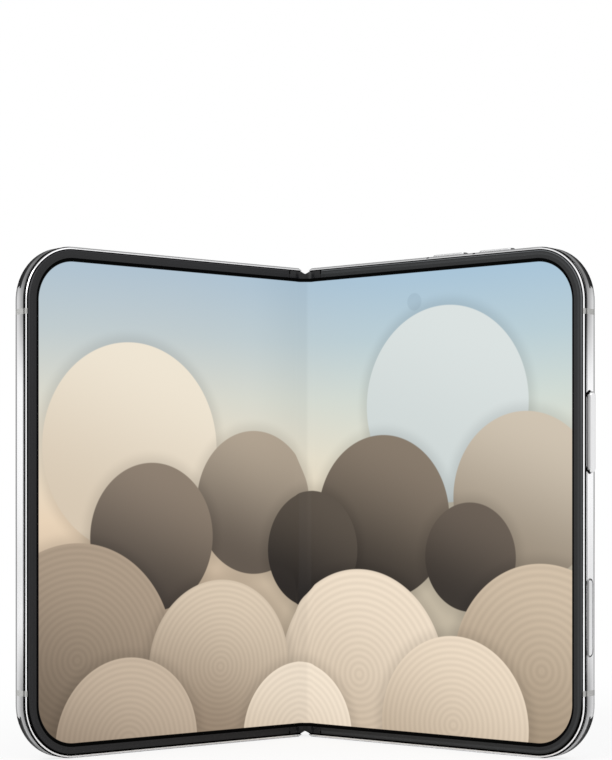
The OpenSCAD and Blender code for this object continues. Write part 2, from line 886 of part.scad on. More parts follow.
module hinge_arms(side) {
  color("darkgray")
    leaf(side)
      for (z = module_z)
        difference() {
          column(z - arm_w / 2, z + arm_w / 2) arm_outline();
          for (x = arm_screw_x, dz = [-1, 1]) {
            depth_rod(x, z + dz * arm_w / 4, arm_screw_r + 0.05, 0, body_t);
            depth_rod(x, z + dz * arm_w / 4, arm_screw_head_r + 0.05, 0, arm_front + arm_screw_head_t + 0.05);
          }
        }
}

module arm_screws(side) {
  color("gray")
    leaf(side)
      for (z = module_z, x = arm_screw_x, dz = [-1, 1]) {
        depth_rod(x, z + dz * arm_w / 4, arm_screw_r, arm_front + 0.05, arm_rear + arm_seat_gap + pad_t);
        depth_rod(
          x, z + dz * arm_w / 4, arm_screw_head_r, arm_front + 0.03,
          arm_front + arm_screw_head_t + 0.05
        );
      }
}

// Flexible circuits that cross the hinge behind the screen
module hinge_flex() {
  flex_t = 0.1;
  front = screen_t + 0.03;
  deep = bay_y0 + 0.03;
  path = concat(
    [for (i = [0:8]) [(fold_reach - 0.8) * i / 8, front]],
    [[fold_reach - 0.4, (front + deep) / 2], [fold_reach, deep], [rail_w, deep], [rail_w + 4, deep]]
  );
  color("peru")
    in_frame()
      for (z = [body_h / 2 - module_pitch / 2, body_h / 2 + module_pitch / 2])
        column(z - 4.5, z + 4.5) bent_layer(path, flex_t);
}

// Inside the leaves

// A flat pouch with rounded corners
module pouch(box, y0, y1) {
  r = 2;
  slab(y0, y1) {
    translate([box[0] + r, box[2]]) square([box[1] - box[0] - 2 * r, box[3] - box[2]]);
    translate([box[0], box[2] + r]) square([box[1] - box[0], box[3] - box[2] - 2 * r]);
    for (x = [box[0] + r, box[1] - r], z = [box[2] + r, box[3] - r])
      translate([x, z]) circle(r);
  }
}

module left_battery() {
  color("darkslateblue")
    leaf(-1) pouch(left_battery_box, bay_y0 + 0.1, bay_y1 - 0.15);
}

module right_battery() {
  color("darkslateblue")
    leaf(1) pouch(right_battery_box, bay_y0 + 0.1, bay_y1 - 0.15);
}

module left_board() {
  top = body_h - 4.5;
  color("darkgreen")
    leaf(-1) {
      slab(board_y, board_y + board_t)
        difference() {
          polygon([
            [battery_x0, body_h - 26], [leaf_w - 6, body_h - 26], [leaf_w - 6, body_h - 14],
            [leaf_w - 13, top], [battery_x0, top]
          ]);
          translate([cover_camera_x - 4, cover_camera_z - 4]) square([8, 8]);
          translate([earpiece_x - 0.5, body_h - 13]) square([13, 9]);
        }
      block(
        [battery_x0 + 30, board_y + board_t, body_h - 25],
        [leaf_w - 9, board_y + board_t + 1.2, body_h - 15.5]
      );
    }
}

module main_board() {
  top = body_h - 4.5;
  box = camera_box + 1;
  color("darkgreen")
    leaf(1)
      slab(board_y, board_y + board_t)
        difference() {
          polygon([
            [battery_x0, body_h - 33], [leaf_w - 4.5, body_h - 33], [leaf_w - 4.5, body_h - 15],
            [leaf_w - 13, top], [battery_x0, top]
          ]);
          for (e = [-1, 1])
            translate([plateau_x + e * lens_pitch / 2, plateau_z]) square(box, center = true);
          translate([inner_camera_x, inner_camera_z]) square(8, center = true);
        }
}

module shield_cans() {
  y0 = board_y + board_t;
  color("lightgray")
    leaf(1) {
      block([plateau_x - 6.5, y0, plateau_z - 10], [plateau_x + 6.5, y0 + 1.2, plateau_z + 4]);
      block([plateau_x - 6.5, y0, body_h - 15], [plateau_x + 15, y0 + 1.2, body_h - 6]);
      block([battery_x0 + 1, y0, plateau_z - 10], [battery_x0 + 11, y0 + 1.2, body_h - 10]);
    }
}

module lower_board() {
  color("darkgreen")
    leaf(1)
      slab(board_y, board_y + board_t)
        translate([battery_x0 + 5, wall_t + socket_depth + 0.3])
          square([leaf_w - battery_x0 - 18, 14]);
}

module camera_modules() {
  color("black")
    leaf(1)
      for (e = [-1, 1]) {
        x = plateau_x + e * lens_pitch / 2;
        block(
          [x - camera_box / 2, bay_y0 + 0.02, plateau_z - camera_box / 2],
          [x + camera_box / 2, bay_y1, plateau_z + camera_box / 2]
        );
        depth_rod(x, plateau_z, lens_bore_r - 0.1, bay_y1, body_t + plateau_t - 0.1);
      }
}

module inner_camera() {
  color("black")
    leaf(1) {
      block(
        [inner_camera_x - 3.5, bay_y0 + 0.02, inner_camera_z - 3.5],
        [inner_camera_x + 3.5, bay_y0 + 2.4, inner_camera_z + 3.5]
      );
      depth_rod(inner_camera_x, inner_camera_z, inner_camera_r, plate_y, bay_y0 + 0.1);
    }
}

module cover_camera() {
  color("black")
    leaf(-1) {
      block(
        [cover_camera_x - 3.5, bay_y0 + 0.02, cover_camera_z - 3.5],
        [cover_camera_x + 3.5, cover_y - 0.5, cover_camera_z + 3.5]
      );
      depth_rod(cover_camera_x, cover_camera_z, 1.7, cover_y - 0.6, cover_y);
    }
}

module cover_screen() {
  color("midnightblue")
    leaf(-1)
      slab(cover_y - 0.3, cover_y)
        difference() {
          leaf_outline(wall_t + cover_ledge_w + 0.1, rail_w + cover_ledge_w + 0.1);
          translate([cover_camera_x, cover_camera_z]) circle(1.9);
        }
}

module cover_glass() {
  color("black")
    leaf(-1)
      slab(cover_y, body_t)
        leaf_outline(cover_inset, rail_w + 0.05);
}

module rear_glass() {
  color("gainsboro")
    leaf(1)
      difference() {
        slab(cover_y, body_t)
          leaf_outline(cover_inset, rail_w + 0.05);
        translate([plateau_x, 0, plateau_z])
          rotate([-90, 0, 0])
            slot_hole(plateau_len - 3, plateau_w - 3, 0, 2 * body_t);
      }
}

// Raised pill that carries both lenses, with a soft edge
module camera_plateau() {
  r = 0.5;
  w = plateau_w / 2;
  half = [
    [0, 0], [w, 0], [w, plateau_t - r], [w - r * 0.3, plateau_t - r * 0.3],
    [w - r, plateau_t], [0, plateau_t]
  ];
  color("silver")
    leaf(1)
      difference() {
        translate([plateau_x, body_t, plateau_z])
          rotate([-90, 0, 0]) {
            for (e = [-1, 1])
              translate([e * (plateau_len - plateau_w) / 2, 0, 0])
                rotate([0, 0, e * -90])
                  rotate_extrude(angle = 180, $fn = 96)
                    polygon(half);
            translate([-(plateau_len - plateau_w) / 2, 0, 0])
              rotate([90, 0, 90])
                linear_extrude(plateau_len - plateau_w)
                  polygon([for (e = [1, -1], i = [1:4]) let(p = half[e > 0 ? i : 5 - i]) [e * p[0], p[1]]]);
            slot_hole(plateau_len - 3.1, plateau_w - 3.1, -glass_t - 0.05, 0);
          }
        for (e = [-1, 1])
          depth_rod(plateau_x + e * lens_pitch / 2, plateau_z, lens_bore_r, 0, 3 * body_t);
        depth_rod(plateau_x, plateau_z, 1.95, body_t + plateau_t - 0.35, 3 * body_t);
        depth_rod(plateau_x, plateau_z - 4, 0.3, 0, 3 * body_t);
      }
}

module lens_rings() {
  y0 = body_t + plateau_t;
  color("silver")
    leaf(1)
      for (e = [-1, 1])
        difference() {
          depth_rod(plateau_x + e * lens_pitch / 2, plateau_z, lens_ring_r, y0, y0 + lens_ring_t);
          depth_rod(plateau_x + e * lens_pitch / 2, plateau_z, lens_ring_r - lens_ring_wall, 0, 3 * body_t);
        }
}

module lens_glasses() {
  y0 = body_t + plateau_t;
  color("black")
    leaf(1)
      for (e = [-1, 1])
        depth_rod(
          plateau_x + e * lens_pitch / 2, plateau_z, lens_ring_r - lens_ring_wall - 0.03,
          y0, y0 + lens_ring_t - 0.15
        );
}

module flash_window() {
  color("lightyellow")
    leaf(1)
      depth_rod(plateau_x, plateau_z, 1.9, body_t + plateau_t - 0.35, body_t + plateau_t + 0.05);
}

module charging_coil() {
  x = leaf_w / 2 + 3;
  z = (right_battery_box[2] + right_battery_box[3]) / 2;
  color("peru")
    leaf(1)
      difference() {
        depth_rod(x, z, 21, bay_y1 - 0.12, cover_y - 0.03);
        depth_rod(x, z, 11, 0, 2 * body_t);
      }
}

// Charging and data socket: a thin drawn shell
module data_socket() {
  color("silver")
    leaf(1)
      translate([socket_x, port_y, 0])
        difference() {
          slot_hole(socket_out_w, socket_out_h, wall_t, wall_t + socket_depth);
          slot_hole(socket_w, socket_h, wall_t - 1, wall_t + socket_depth + 1);
        }
}

// The socket's contact tongue on its back plate
module socket_tongue() {
  back = wall_t + socket_depth - socket_back_t;
  color("black")
    leaf(1)
      translate([socket_x, port_y, 0]) {
        slot_hole(socket_w - 0.04, socket_h - 0.04, back, wall_t + socket_depth);
        block([-tongue_w / 2, -0.35, wall_t + 0.9], [tongue_w / 2, 0.35, back + 0.1]);
      }
}

module right_speaker() {
  color("black")
    leaf(1)
      block(
        [socket_x + 9, bay_y0 + 0.02, wall_t + 0.05],
        [socket_x + 25, bay_y1 - 0.3, wall_t + socket_depth]
      );
}

module left_speaker() {
  color("black")
    leaf(-1)
      block(
        [leaf_w / 2 - 3 * speaker_pitch - 2, bay_y0 + 0.02, wall_t + 0.05],
        [leaf_w / 2 + 3 * speaker_pitch + 2, bay_y1 - 0.3, wall_t + socket_depth]
      );
}

module earpiece() {
  color("black")
    leaf(-1)
      block(
        [earpiece_x, bay_y0 + 0.02, body_h - 12.5],
        [earpiece_x + 12, bay_y1 - 0.4, body_h - 5]
      );
}

module vibration_motor() {
  color("dimgray")
    leaf(-1)
      pouch([leaf_w - 27, leaf_w - 17, 6, 22], bay_y0 + 0.02, bay_y1 - 0.4);
}

module key_switches() {
  color("goldenrod")
    leaf(1) {
      on_outer_edge(body_h / 2 + power_z) key_switch(power_len);
      on_outer_edge(body_h / 2 + capture_z) key_switch(capture_len);
      for (x = [volume_down_x, volume_up_x])
        on_top_edge(x) key_switch(volume_len);
    }
}

module bottom_screws() {
  color("gray")
    leaf(1)
      for (x = [socket_x - 7, socket_x + 7])
        translate([x, port_y, 0.15])
          cylinder(h = wall_t + 2.5, r = 0.75, $fn = 24);
}

module power_key() {
  color("silver")
    leaf(1) on_outer_edge(body_h / 2 + power_z) key_body(power_len, key_proud);
}

module capture_key() {
  color("silver")
    leaf(1) on_outer_edge(body_h / 2 + capture_z) key_body(capture_len, capture_proud);
}

module volume_up_key() {
  color("silver")
    leaf(1) on_top_edge(volume_up_x) key_body(volume_len, volume_proud);
}

module volume_down_key() {
  color("silver")
    leaf(1) on_top_edge(volume_down_x) key_body(volume_len, volume_proud);
}

spine_cover();
spine_end_caps();
hinge_base(module_z[2], false);  // hinge_base_upper
hinge_base(module_z[1], true);  // hinge_base_middle
hinge_base(module_z[0], false);  // hinge_base_lower
fold_support_bar();
friction_clips();
base_screws();
fold_screen();
fold_trims();
hinge_flex();
timing_gear(-idler_r, left_idler_phase);  // timing_gear_left
timing_gear(idler_r, right_idler_phase);  // timing_gear_right
left_frame();
antenna_bands(-1);  // left_antenna_bands
corner_guards(-1);  // left_corner_guards
rim(-1);  // left_rim
screen(-1);  // left_screen
left_midplate();
hinge_arms(-1);  // left_hinge_arms
arm_screws(-1);  // left_arm_screws
hinge_shafts(-axis_x, left_shaft_phase);  // left_hinge_shafts
left_battery();
left_board();
cover_screen();
cover_glass();
cover_camera();
earpiece();
vibration_motor();
left_speaker();
right_frame();
antenna_bands(1);  // right_antenna_bands
corner_guards(1);  // right_corner_guards
rim(1);  // right_rim
screen(1);  // right_screen
right_midplate();
hinge_arms(1);  // right_hinge_arms
arm_screws(1);  // right_arm_screws
hinge_shafts(axis_x, right_shaft_phase);  // right_hinge_shafts
right_battery();
main_board();
shield_cans();
lower_board();
rear_glass();
camera_plateau();
lens_rings();
lens_glasses();
camera_modules();
flash_window();
inner_camera();
charging_coil();
data_socket();
socket_tongue();
right_speaker();
key_switches();
bottom_screws();
power_key();
capture_key();
volume_up_key();
volume_down_key();
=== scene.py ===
"""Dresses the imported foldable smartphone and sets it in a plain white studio.

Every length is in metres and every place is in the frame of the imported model: +Z runs up along the
hinge, +X to the right, and the inner screen faces -Y. A leaf is described flat, by the distance s
from the middle of the hinge, the depth y behind the screen face and the height z.
"""

import json
import logging
import math
from dataclasses import dataclass, field
from enum import Enum
from typing import Callable, Dict, List, Mapping, Optional, Sequence, Tuple, Union

import bmesh
import bpy
import numpy as np
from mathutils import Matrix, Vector


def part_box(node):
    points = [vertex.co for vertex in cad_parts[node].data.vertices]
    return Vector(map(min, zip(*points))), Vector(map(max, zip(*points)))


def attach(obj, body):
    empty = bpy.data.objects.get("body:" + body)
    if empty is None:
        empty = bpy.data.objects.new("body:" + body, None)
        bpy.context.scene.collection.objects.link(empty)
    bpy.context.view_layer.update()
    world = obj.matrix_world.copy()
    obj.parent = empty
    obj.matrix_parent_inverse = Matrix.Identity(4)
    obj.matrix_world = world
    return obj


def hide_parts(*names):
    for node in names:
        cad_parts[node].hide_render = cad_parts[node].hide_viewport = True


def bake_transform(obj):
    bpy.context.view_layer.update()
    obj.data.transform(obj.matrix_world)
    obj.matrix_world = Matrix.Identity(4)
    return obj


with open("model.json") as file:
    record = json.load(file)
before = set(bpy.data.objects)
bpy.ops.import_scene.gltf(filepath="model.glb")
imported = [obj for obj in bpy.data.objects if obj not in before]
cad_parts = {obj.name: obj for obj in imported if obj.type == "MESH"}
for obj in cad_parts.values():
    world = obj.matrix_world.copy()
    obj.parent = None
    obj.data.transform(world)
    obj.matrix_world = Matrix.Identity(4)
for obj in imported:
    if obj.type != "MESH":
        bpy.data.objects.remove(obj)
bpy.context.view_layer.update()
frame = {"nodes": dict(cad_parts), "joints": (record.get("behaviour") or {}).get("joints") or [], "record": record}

log = logging.getLogger("foldable")

Colour = Tuple[float, float, float]
Point = Tuple[float, float, float]
Material = bpy.types.Material
Piece = bpy.types.Object
Move = Callable[[np.ndarray], np.ndarray]

MM = 0.001
SCRATCH_STRETCH = (1.0, 1.0, 0.05)
SCRATCH_SCALE = 9000.0
SCRATCH_DEPTH = 0.0005 * MM
# Black for painted shade in gaps and recesses, and for the frame's dark joint line.
JOINT_AND_SHADE_BLACK = (0.0015, 0.0015, 0.0015)
BRUSHED = (1.0, 1.0, 0.04)
SHARP_FROM = math.radians(32)


def srgb(red: int, green: int, blue: int) -> Colour:
    """Turns a display colour of 0 to 255 into the linear colour that a shader takes."""
    shares = [c / 255 for c in (red, green, blue)]
    return tuple(c / 12.92 if c <= 0.04045 else ((c + 0.055) / 1.055) ** 2.4 for c in shares)


class Side(Enum):
    """Which leaf of the phone, as the sign of its X."""

    LEFT = -1
    RIGHT = 1

    @property
    def label(self) -> str:
        """The word that starts this side's node names."""
        return self.name.lower()


# Shader building


def operator(operation: str, swapped: bool = False) -> Callable[["Socket", "Value"], "Socket"]:
    """Makes one operator of Socket.

    Args:
        operation: The Math node's operation.
        swapped: Whether the other value comes first, as in 1 - mask.

    Returns:
        The method.
    """

    def method(self: "Socket", other: "Value") -> "Socket":
        """Adds a Math node on this socket and another value."""
        first, second = (other, self) if swapped else (self, other)
        return self.graph.math(operation, first, second)

    return method


class Socket:
    """One output of a shader node. Arithmetic on it adds Math nodes."""

    def __init__(self, graph: "Graph", output: bpy.types.NodeSocket) -> None:
        """Wraps an output of a node in a graph."""
        self.graph = graph
        self.output = output

    __add__ = operator("ADD")
    __radd__ = operator("ADD", swapped=True)
    __sub__ = operator("SUBTRACT")
    __rsub__ = operator("SUBTRACT", swapped=True)
    __mul__ = operator("MULTIPLY")
    __rmul__ = operator("MULTIPLY", swapped=True)
    most = operator("MAXIMUM")

    def root(self) -> "Socket":
        """The square root of this value."""
        return self.graph.math("SQRT", self)

    def sine(self) -> "Socket":
        """The sine of this value, in radians."""
        return self.graph.math("SINE", self)

    def absolute(self) -> "Socket":
        """This value without its sign."""
        return self.graph.math("ABSOLUTE", self)

    def ramp(self, low: float, high: float) -> "Socket":
        """Rises smoothly from 0 at low to 1 at high; high may be the smaller number."""
        inputs = {"Value": self, "From Min": low, "From Max": high}
        if low > high:
            inputs.update({"From Min": high, "From Max": low, "To Min": 1.0, "To Max": 0.0})
        return self.graph.node("ShaderNodeMapRange", {"interpolation_type": "SMOOTHSTEP"}, inputs)

    def band(self, low: float, high: float, soft: float) -> "Socket":
        """Is 1 between low and high, and fades to 0 over soft on both sides."""
        return self.ramp(low - soft, low) * self.ramp(high + soft, high)


Value = Union[Socket, float]


class Graph:
    """Builds the nodes of one material or world."""

    def __init__(self, tree: bpy.types.NodeTree) -> None:
        """Takes over a node tree, emptied."""
        self.tree = tree
        tree.nodes.clear()

    def node(
        self,
        kind: str,
        settings: Optional[Mapping[str, object]] = None,
        inputs: Optional[Mapping[Union[int, str], object]] = None,
        out: Union[int, str] = 0,
    ) -> Socket:
        """Adds one node.

        Args:
            kind: The node's type name.
            settings: Its settings, set first; "stops" gives a colour ramp's stops.
            inputs: Values or sockets for its inputs, by name or place.
            out: The output to return, by name or place.

        Returns:
            The chosen output.
        """
        made = self.tree.nodes.new(kind)
        for key, value in (settings or {}).items():
            if key == "stops":
                self._set_stops(made.color_ramp, value)
            else:
                setattr(made, key, value)
        for key, value in (inputs or {}).items():
            self._feed(made.inputs[key], value)
        return Socket(self, made.outputs[out])

    def _feed(self, target: bpy.types.NodeSocket, value: object) -> None:
        """Links a socket to an input, or sets a constant on it."""
        if isinstance(value, Socket):
            self.tree.links.new(value.output, target)
        elif isinstance(value, tuple) and len(value) == 3 and target.type == "RGBA":
            target.default_value = (*value, 1.0)
        else:
            target.default_value = value

    @staticmethod
    def _set_stops(ramp: bpy.types.ColorRamp, stops: Sequence[Tuple[float, Colour]]) -> None:
        """Gives a colour ramp its stops, each a place from 0 to 1 and a colour."""
        while len(ramp.elements) < len(stops):
            ramp.elements.new(0.5)
        for element, (place, colour) in zip(ramp.elements, stops):
            element.position = place
            element.color = (*colour, 1.0)

    def math(self, operation: str, a: Value, b: Value = 0.0) -> Socket:
        """Adds a Math node."""
        return self.node("ShaderNodeMath", {"operation": operation}, {0: a, 1: b})

    def mix(self, share: Value, a: object, b: object, mode: str = "MIX") -> Socket:
        """Mixes two colours, from a at share 0 to b at share 1."""
        settings = {"data_type": "RGBA", "blend_type": mode}
        return self.node("ShaderNodeMix", settings, {0: share, 6: a, 7: b}, out=2)

    def scale(self, colour: object, by: Value) -> Socket:
        """Makes a colour lighter or darker by a factor."""
        return self.node("ShaderNodeVectorMath", {"operation": "SCALE"}, {0: colour, "Scale": by})

    def dot(self, vector: Socket, along: Point) -> Socket:
        """How far a vector reaches along a direction."""
        return self.node(
            "ShaderNodeVectorMath", {"operation": "DOT_PRODUCT"}, {0: vector, 1: along}, out="Value"
        )

    def place(self) -> Socket:
        """The place on the piece at rest, in metres."""
        return self.node("ShaderNodeTexCoord", out="Object")

    def stretched(self, by: Point) -> Socket:
        """The place on the piece, scaled by a different number along each axis."""
        return self.node("ShaderNodeMapping", None, {"Vector": self.place(), "Scale": by})

    def noise(self, at: Socket, scale: float, detail: float = 3.0) -> Socket:
        """Soft noise from 0 to 1."""
        return self.node(
            "ShaderNodeTexNoise", None, {"Vector": at, "Scale": scale, "Detail": detail}, out=0
        )

    def scratches(self) -> Socket:
        """Noise for the fine scratches of polished metal, which run up along the hinge."""
        return self.noise(self.stretched(SCRATCH_STRETCH), SCRATCH_SCALE, 4.0)

    def bump(self, height: Value, depth: float) -> Socket:
        """A normal that stands for a relief of the given depth in metres."""
        inputs = {"Strength": 1.0, "Distance": depth, "Height": height}
        return self.node("ShaderNodeBump", None, inputs)

    def surface(self, shader: Socket, kind: str = "ShaderNodeOutputMaterial") -> None:
        """Sends a shader to a new output node, of a material or of the kind given."""
        made = self.tree.nodes.new(kind)
        self.tree.links.new(shader.output, made.inputs["Surface"])

    def shader(self, inputs: Mapping[str, object]) -> Socket:
        """Adds a Principled shader with these inputs."""
        return self.node("ShaderNodeBsdfPrincipled", None, inputs)

    def principled(self, inputs: Mapping[str, object]) -> None:
        """Ends the material in one Principled shader with these inputs."""
        self.surface(self.shader(inputs))

    def surface_with_gaps(self, shader: Socket, gaps: Socket, broad: Socket) -> None:
        """Ends the material in a shader that is cut by black: painted shade in gaps and recesses, and, in the
        frame's line, a dark joint widened by painted shade.

        Args:
            shader: The shader between the gaps.
            gaps: Mask of the black, mostly painted shade.
            broad: Broad noise that varies the black.
        """
        # The black is painted shade, and in the frame's line partly a dark joint.
        black = self.shader({
            "Base Color": self.scale(JOINT_AND_SHADE_BLACK, 0.6 + broad * 0.8),
            "Roughness": 0.7,
            "Specular IOR Level": 0.01,
        })
        self.surface(self.node("ShaderNodeMixShader", None, {0: gaps, 1: shader, 2: black}))


# Where things are


@dataclass(frozen=True)
class PhoneGeometry:
    """The sizes of the phone that its dressing needs, and the turn from a flat leaf into place.

    The properties end, half and radius are in millimetres, as are the places that materials work
    out.
    """

    height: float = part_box("left_frame")[1].z
    leaf_width: float = 83.8 * MM
    corner_radius: float = 13.2 * MM
    axis_depth: float = 1.1 * MM
    fold_reach: float = 3.8 * MM
    rim_outer: float = 0.8 * MM
    rim_inner: float = 3.4 * MM
    rim_raise: float = 0.3 * MM
    rim_seam: float = 5.8 * MM
    seam_gap: float = 0.1 * MM
    screen_inset: float = 2.65 * MM
    screen_thickness: float = 0.3 * MM

    @property
    def end(self) -> float:
        """How far a leaf reaches from the middle of the hinge."""
        return self.leaf_width / MM

    @property
    def half(self) -> float:
        """Half the height."""
        return self.height / (2 * MM)

    @property
    def radius(self) -> float:
        """The radius of a leaf's corners."""
        return self.corner_radius / MM

    @staticmethod
    def fold_joint(side: Side) -> Dict[str, object]:
        """The joint that turns a leaf, as packed."""
        return next(j for j in frame["joints"] if j["name"] == f"{side.label}_fold")

    @property
    def turn(self) -> float:
        """How far each leaf is turned from flat at rest, in radians."""
        return math.radians(self.fold_joint(Side.RIGHT)["range_deg"][1])

    def pivot(self, side: Side) -> Point:
        """A point on the hinge shaft of a leaf."""
        return tuple(self.fold_joint(side)["pos_m"])

    @property
    def middle(self) -> float:
        """X of the middle of the hinge."""
        return 0.5 * (self.pivot(Side.LEFT)[0] + self.pivot(Side.RIGHT)[0])

    @property
    def axis_x(self) -> float:
        """How far each hinge shaft lies from the middle."""
        return self.pivot(Side.RIGHT)[0] - self.middle

    @property
    def back(self) -> float:
        """Y of the screen face in the middle of the fold."""
        return self.pivot(Side.RIGHT)[1] - self.axis_depth

    def turned(
        self, s: np.ndarray, y: np.ndarray, share: np.ndarray
    ) -> Tuple[np.ndarray, np.ndarray]:
        """Turns points of a flat right leaf about its shaft.

        Args:
            s: Distances from the middle of the hinge.
            y: Depths behind the screen face.
            share: The part of the leaf's turn that each point makes, from 0 to 1.

        Returns:
            How far they lie from the middle of the hinge, and their Y.
        """
        angle = self.turn * share
        across, deep = s - self.axis_x, y - self.axis_depth
        x = self.axis_x + across * np.cos(angle) + deep * np.sin(angle)
        depth = self.axis_depth - across * np.sin(angle) + deep * np.cos(angle)
        return x, depth + self.back

    def on_leaf(self, side: Side, s: float, y: float, z: float) -> Vector:
        """The place in the frame of a point of a flat leaf."""
        x, depth = self.turned(np.array([s]), np.array([y]), np.ones(1))
        return Vector((self.middle + side.value * float(x[0]), float(depth[0]), z))

    def fold_line(self) -> Tuple[np.ndarray, np.ndarray]:
        """Start and end of the stretch in which the flexible layer turns, on the right side."""
        ends = np.array([0.0, self.fold_reach])
        x, y = self.turned(ends, np.zeros(2), np.array([0.0, 1.0]))
        return np.array([x[0], y[0]]), np.array([x[1], y[1]])

    def bent(self, s: np.ndarray, y: np.ndarray) -> Tuple[np.ndarray, np.ndarray]:
        """Places points of the flexible layer so that it lies truly flat when the phone is opened.

        A point's turn depends on where it lies at rest, and where it lies depends on its turn, so
        the two are brought together in a few rounds.

        Args:
            s: Distances from the middle of the hinge, zero or more.
            y: Depths behind the screen face.

        Returns:
            How far they lie from the middle of the hinge at rest, and their Y.
        """
        start, end = self.fold_line()
        way = end - start
        share = np.clip(s / self.fold_reach, 0, 1)
        for _ in range(80):
            x, depth = self.turned(s, y, share)
            t = ((x - start[0]) * way[0] + (depth - start[1]) * way[1]) / (way @ way)
            t = np.clip(t, 0, 1)
            share = 0.5 * share + 0.5 * t * t * (3 - 2 * t)
        return self.turned(s, y, share)

    def along(self, graph: Graph, side: Side, direction: Point, start: float) -> Socket:
        """How far a point on a leaf at rest lies along a direction, in millimetres.

        Args:
            graph: The material's nodes.
            side: The leaf.
            direction: The direction, in the frame.
            start: What the hinge shaft itself measures, in metres.

        Returns:
            The distance.
        """
        shaft = sum(a * b for a, b in zip(self.pivot(side), direction))
        return (graph.dot(graph.place(), direction) - shaft + start) * (1 / MM)

    def local_depth(self, graph: Graph, side: Side) -> Socket:
        """The depth behind the screen face, in millimetres, of a point on a leaf at rest."""
        direction = (side.value * math.sin(self.turn), math.cos(self.turn), 0.0)
        return self.along(graph, side, direction, self.axis_depth)

    def flat_place(self, graph: Graph, side: Optional[Side]) -> Tuple[Socket, Socket]:
        """The flat place of a point, as millimetres right of and above the middle of the screen.

        Args:
            graph: The material's nodes.
            side: The leaf of a rigid piece, or None for a piece that carries its own flat map.

        Returns:
            Both distances; the first is never negative where a side is given.
        """
        if side is None:
            flat = graph.node("ShaderNodeUVMap", {"uv_map": "picture"})
            across = graph.dot(flat, (2 * self.end, 0.0, 0.0)) - self.end
            up = graph.dot(flat, (0.0, 2 * self.half, 0.0)) - self.half
            return across, up
        direction = (side.value * math.cos(self.turn), -math.sin(self.turn), 0.0)
        across = self.along(graph, side, direction, self.axis_x)
        up = graph.dot(graph.place(), (0.0, 0.0, 1 / MM)) - self.half
        return across, up

    def inset(self, across: Socket, up: Socket, ends: float = 0.0) -> Socket:
        """How far inside the outline of the opened phone a flat place lies, in millimetres.

        Args:
            across: How far right of the middle of the screen the place is.
            up: How far above the middle it is.
            ends: How much further inside a place counts at the top and bottom.

        Returns:
            The distance.
        """
        dx = (across.absolute() - (self.end - self.radius)).most(0.0)
        dz = (up.absolute() - (self.half - self.radius + ends)).most(0.0)
        return self.radius - (dx * dx + dz * dz).root()


PHONE = PhoneGeometry()


# Meshes


@dataclass
class Surface:
    """Gathers the points and faces of one new piece, flat coordinates first."""

    points: List[Point] = field(default_factory=list)
    faces: List[Tuple[int, ...]] = field(default_factory=list)

    def sheet(self, rows: Sequence[Sequence[Point]], closed: bool = False) -> None:
        """Adds a skin over rows of points.

        Args:
            rows: Rows of equally many points.
            closed: Whether each row runs round to its own start.
        """
        base, width = len(self.points), len(rows[0])
        for row in rows:
            self.points.extend(row)
        for i in range(len(rows) - 1):
            for j in range(width if closed else width - 1):
                a, b = base + i * width + j, base + i * width + (j + 1) % width
                self.faces.append((a, b, b + width, a + width))

    def cap(self, row: Sequence[Point], flip: bool = False) -> None:
        """Adds one flat face over a row of points."""
        base = len(self.points)
        self.points.extend(row)
        ring = tuple(range(base, base + len(row)))
        self.faces.append(ring[::-1] if flip else ring)

    def loft(self, rows: Sequence[Sequence[Point]]) -> None:
        """Adds a closed solid through rows of points, each a closed outline."""
        self.sheet(rows, closed=True)
        self.cap(rows[0], flip=True)
        self.cap(rows[-1])

    def box(self, low: Point, high: Point, soft: float) -> None:
        """Adds a block with softened edges along its longest side's ends."""
        (x0, y0, z0), (x1, y1, z1) = low, high
        rows = []
        for z, inset in ((z0, soft), (z0 + soft, 0), (z1 - soft, 0), (z1, soft)):
            corners = [
                (x0 + inset, y0 + soft), (x0 + soft, y0 + inset),
                (x1 - soft, y0 + inset), (x1 - inset, y0 + soft),
                (x1 - inset, y1 - soft), (x1 - soft, y1 - inset),
                (x0 + soft, y1 - inset), (x0 + inset, y1 - soft),
            ]
            rows.append([(x, y, z) for x, y in corners])
        self.loft(rows)

    def turned_about_depth(
        self, centre: Tuple[float, float], outline: Sequence[Tuple[float, float]], steps: int = 64
    ) -> None:
        """Adds a round form about an axis that runs in the depth of a leaf.

        Args:
            centre: Its s and z.
            outline: Pairs of radius and depth, from one end to the other.
            steps: How many points one turn has.
        """
        angles = [2 * math.pi * k / steps for k in range(steps)]
        rows = [
            [(centre[0] + r * math.cos(a), y, centre[1] + r * math.sin(a)) for a in angles]
            for r, y in outline
        ]
        self.sheet(rows, closed=True)

    def build(
        self, name: str, place: Move, material: Material, mapped: Optional[Side] = None
    ) -> Piece:
        """Makes the object.

        Args:
            name: Its name.
            place: Turns an array of flat points into points in the frame.
            material: Its finish.
            mapped: For a piece that carries a flat map of the opened phone, its side.

        Returns:
            The new object, with faces that point outwards and smooth shading by angle.
        """
        data = bpy.data.meshes.new(name)
        placed = place(np.array(self.points, float))
        data.from_pydata(placed.tolist(), [], self.faces)
        if mapped is not None:
            flat = np.array(self.points, float)[:, [0, 2]] / [2 * PHONE.leaf_width, PHONE.height]
            flat = flat * [mapped.value, 1.0] + [0.5, 0.0]
            layer = data.uv_layers.new(name="picture")
            order = np.zeros(len(data.loops), int)
            data.loops.foreach_get("vertex_index", order)
            layer.data.foreach_set("uv", flat[order].astype(np.float32).ravel())
        data.materials.append(material)
        made = bpy.data.objects.new(name, data)
        bpy.context.scene.collection.objects.link(made)
        self._tidy(data)
        return made

    @staticmethod
    def _tidy(data: bpy.types.Mesh) -> None:
        """Joins points that coincide, turns faces outwards and shades smoothly by angle."""
        work = bmesh.new()
        work.from_mesh(data)
        bmesh.ops.remove_doubles(work, verts=work.verts, dist=1e-7)
        bmesh.ops.recalc_face_normals(work, faces=work.faces)
        work.to_mesh(data)
        work.free()
        data.polygons.foreach_set("use_smooth", [True] * len(data.polygons))
        data.set_sharp_from_angle(angle=SHARP_FROM)
        data.update()


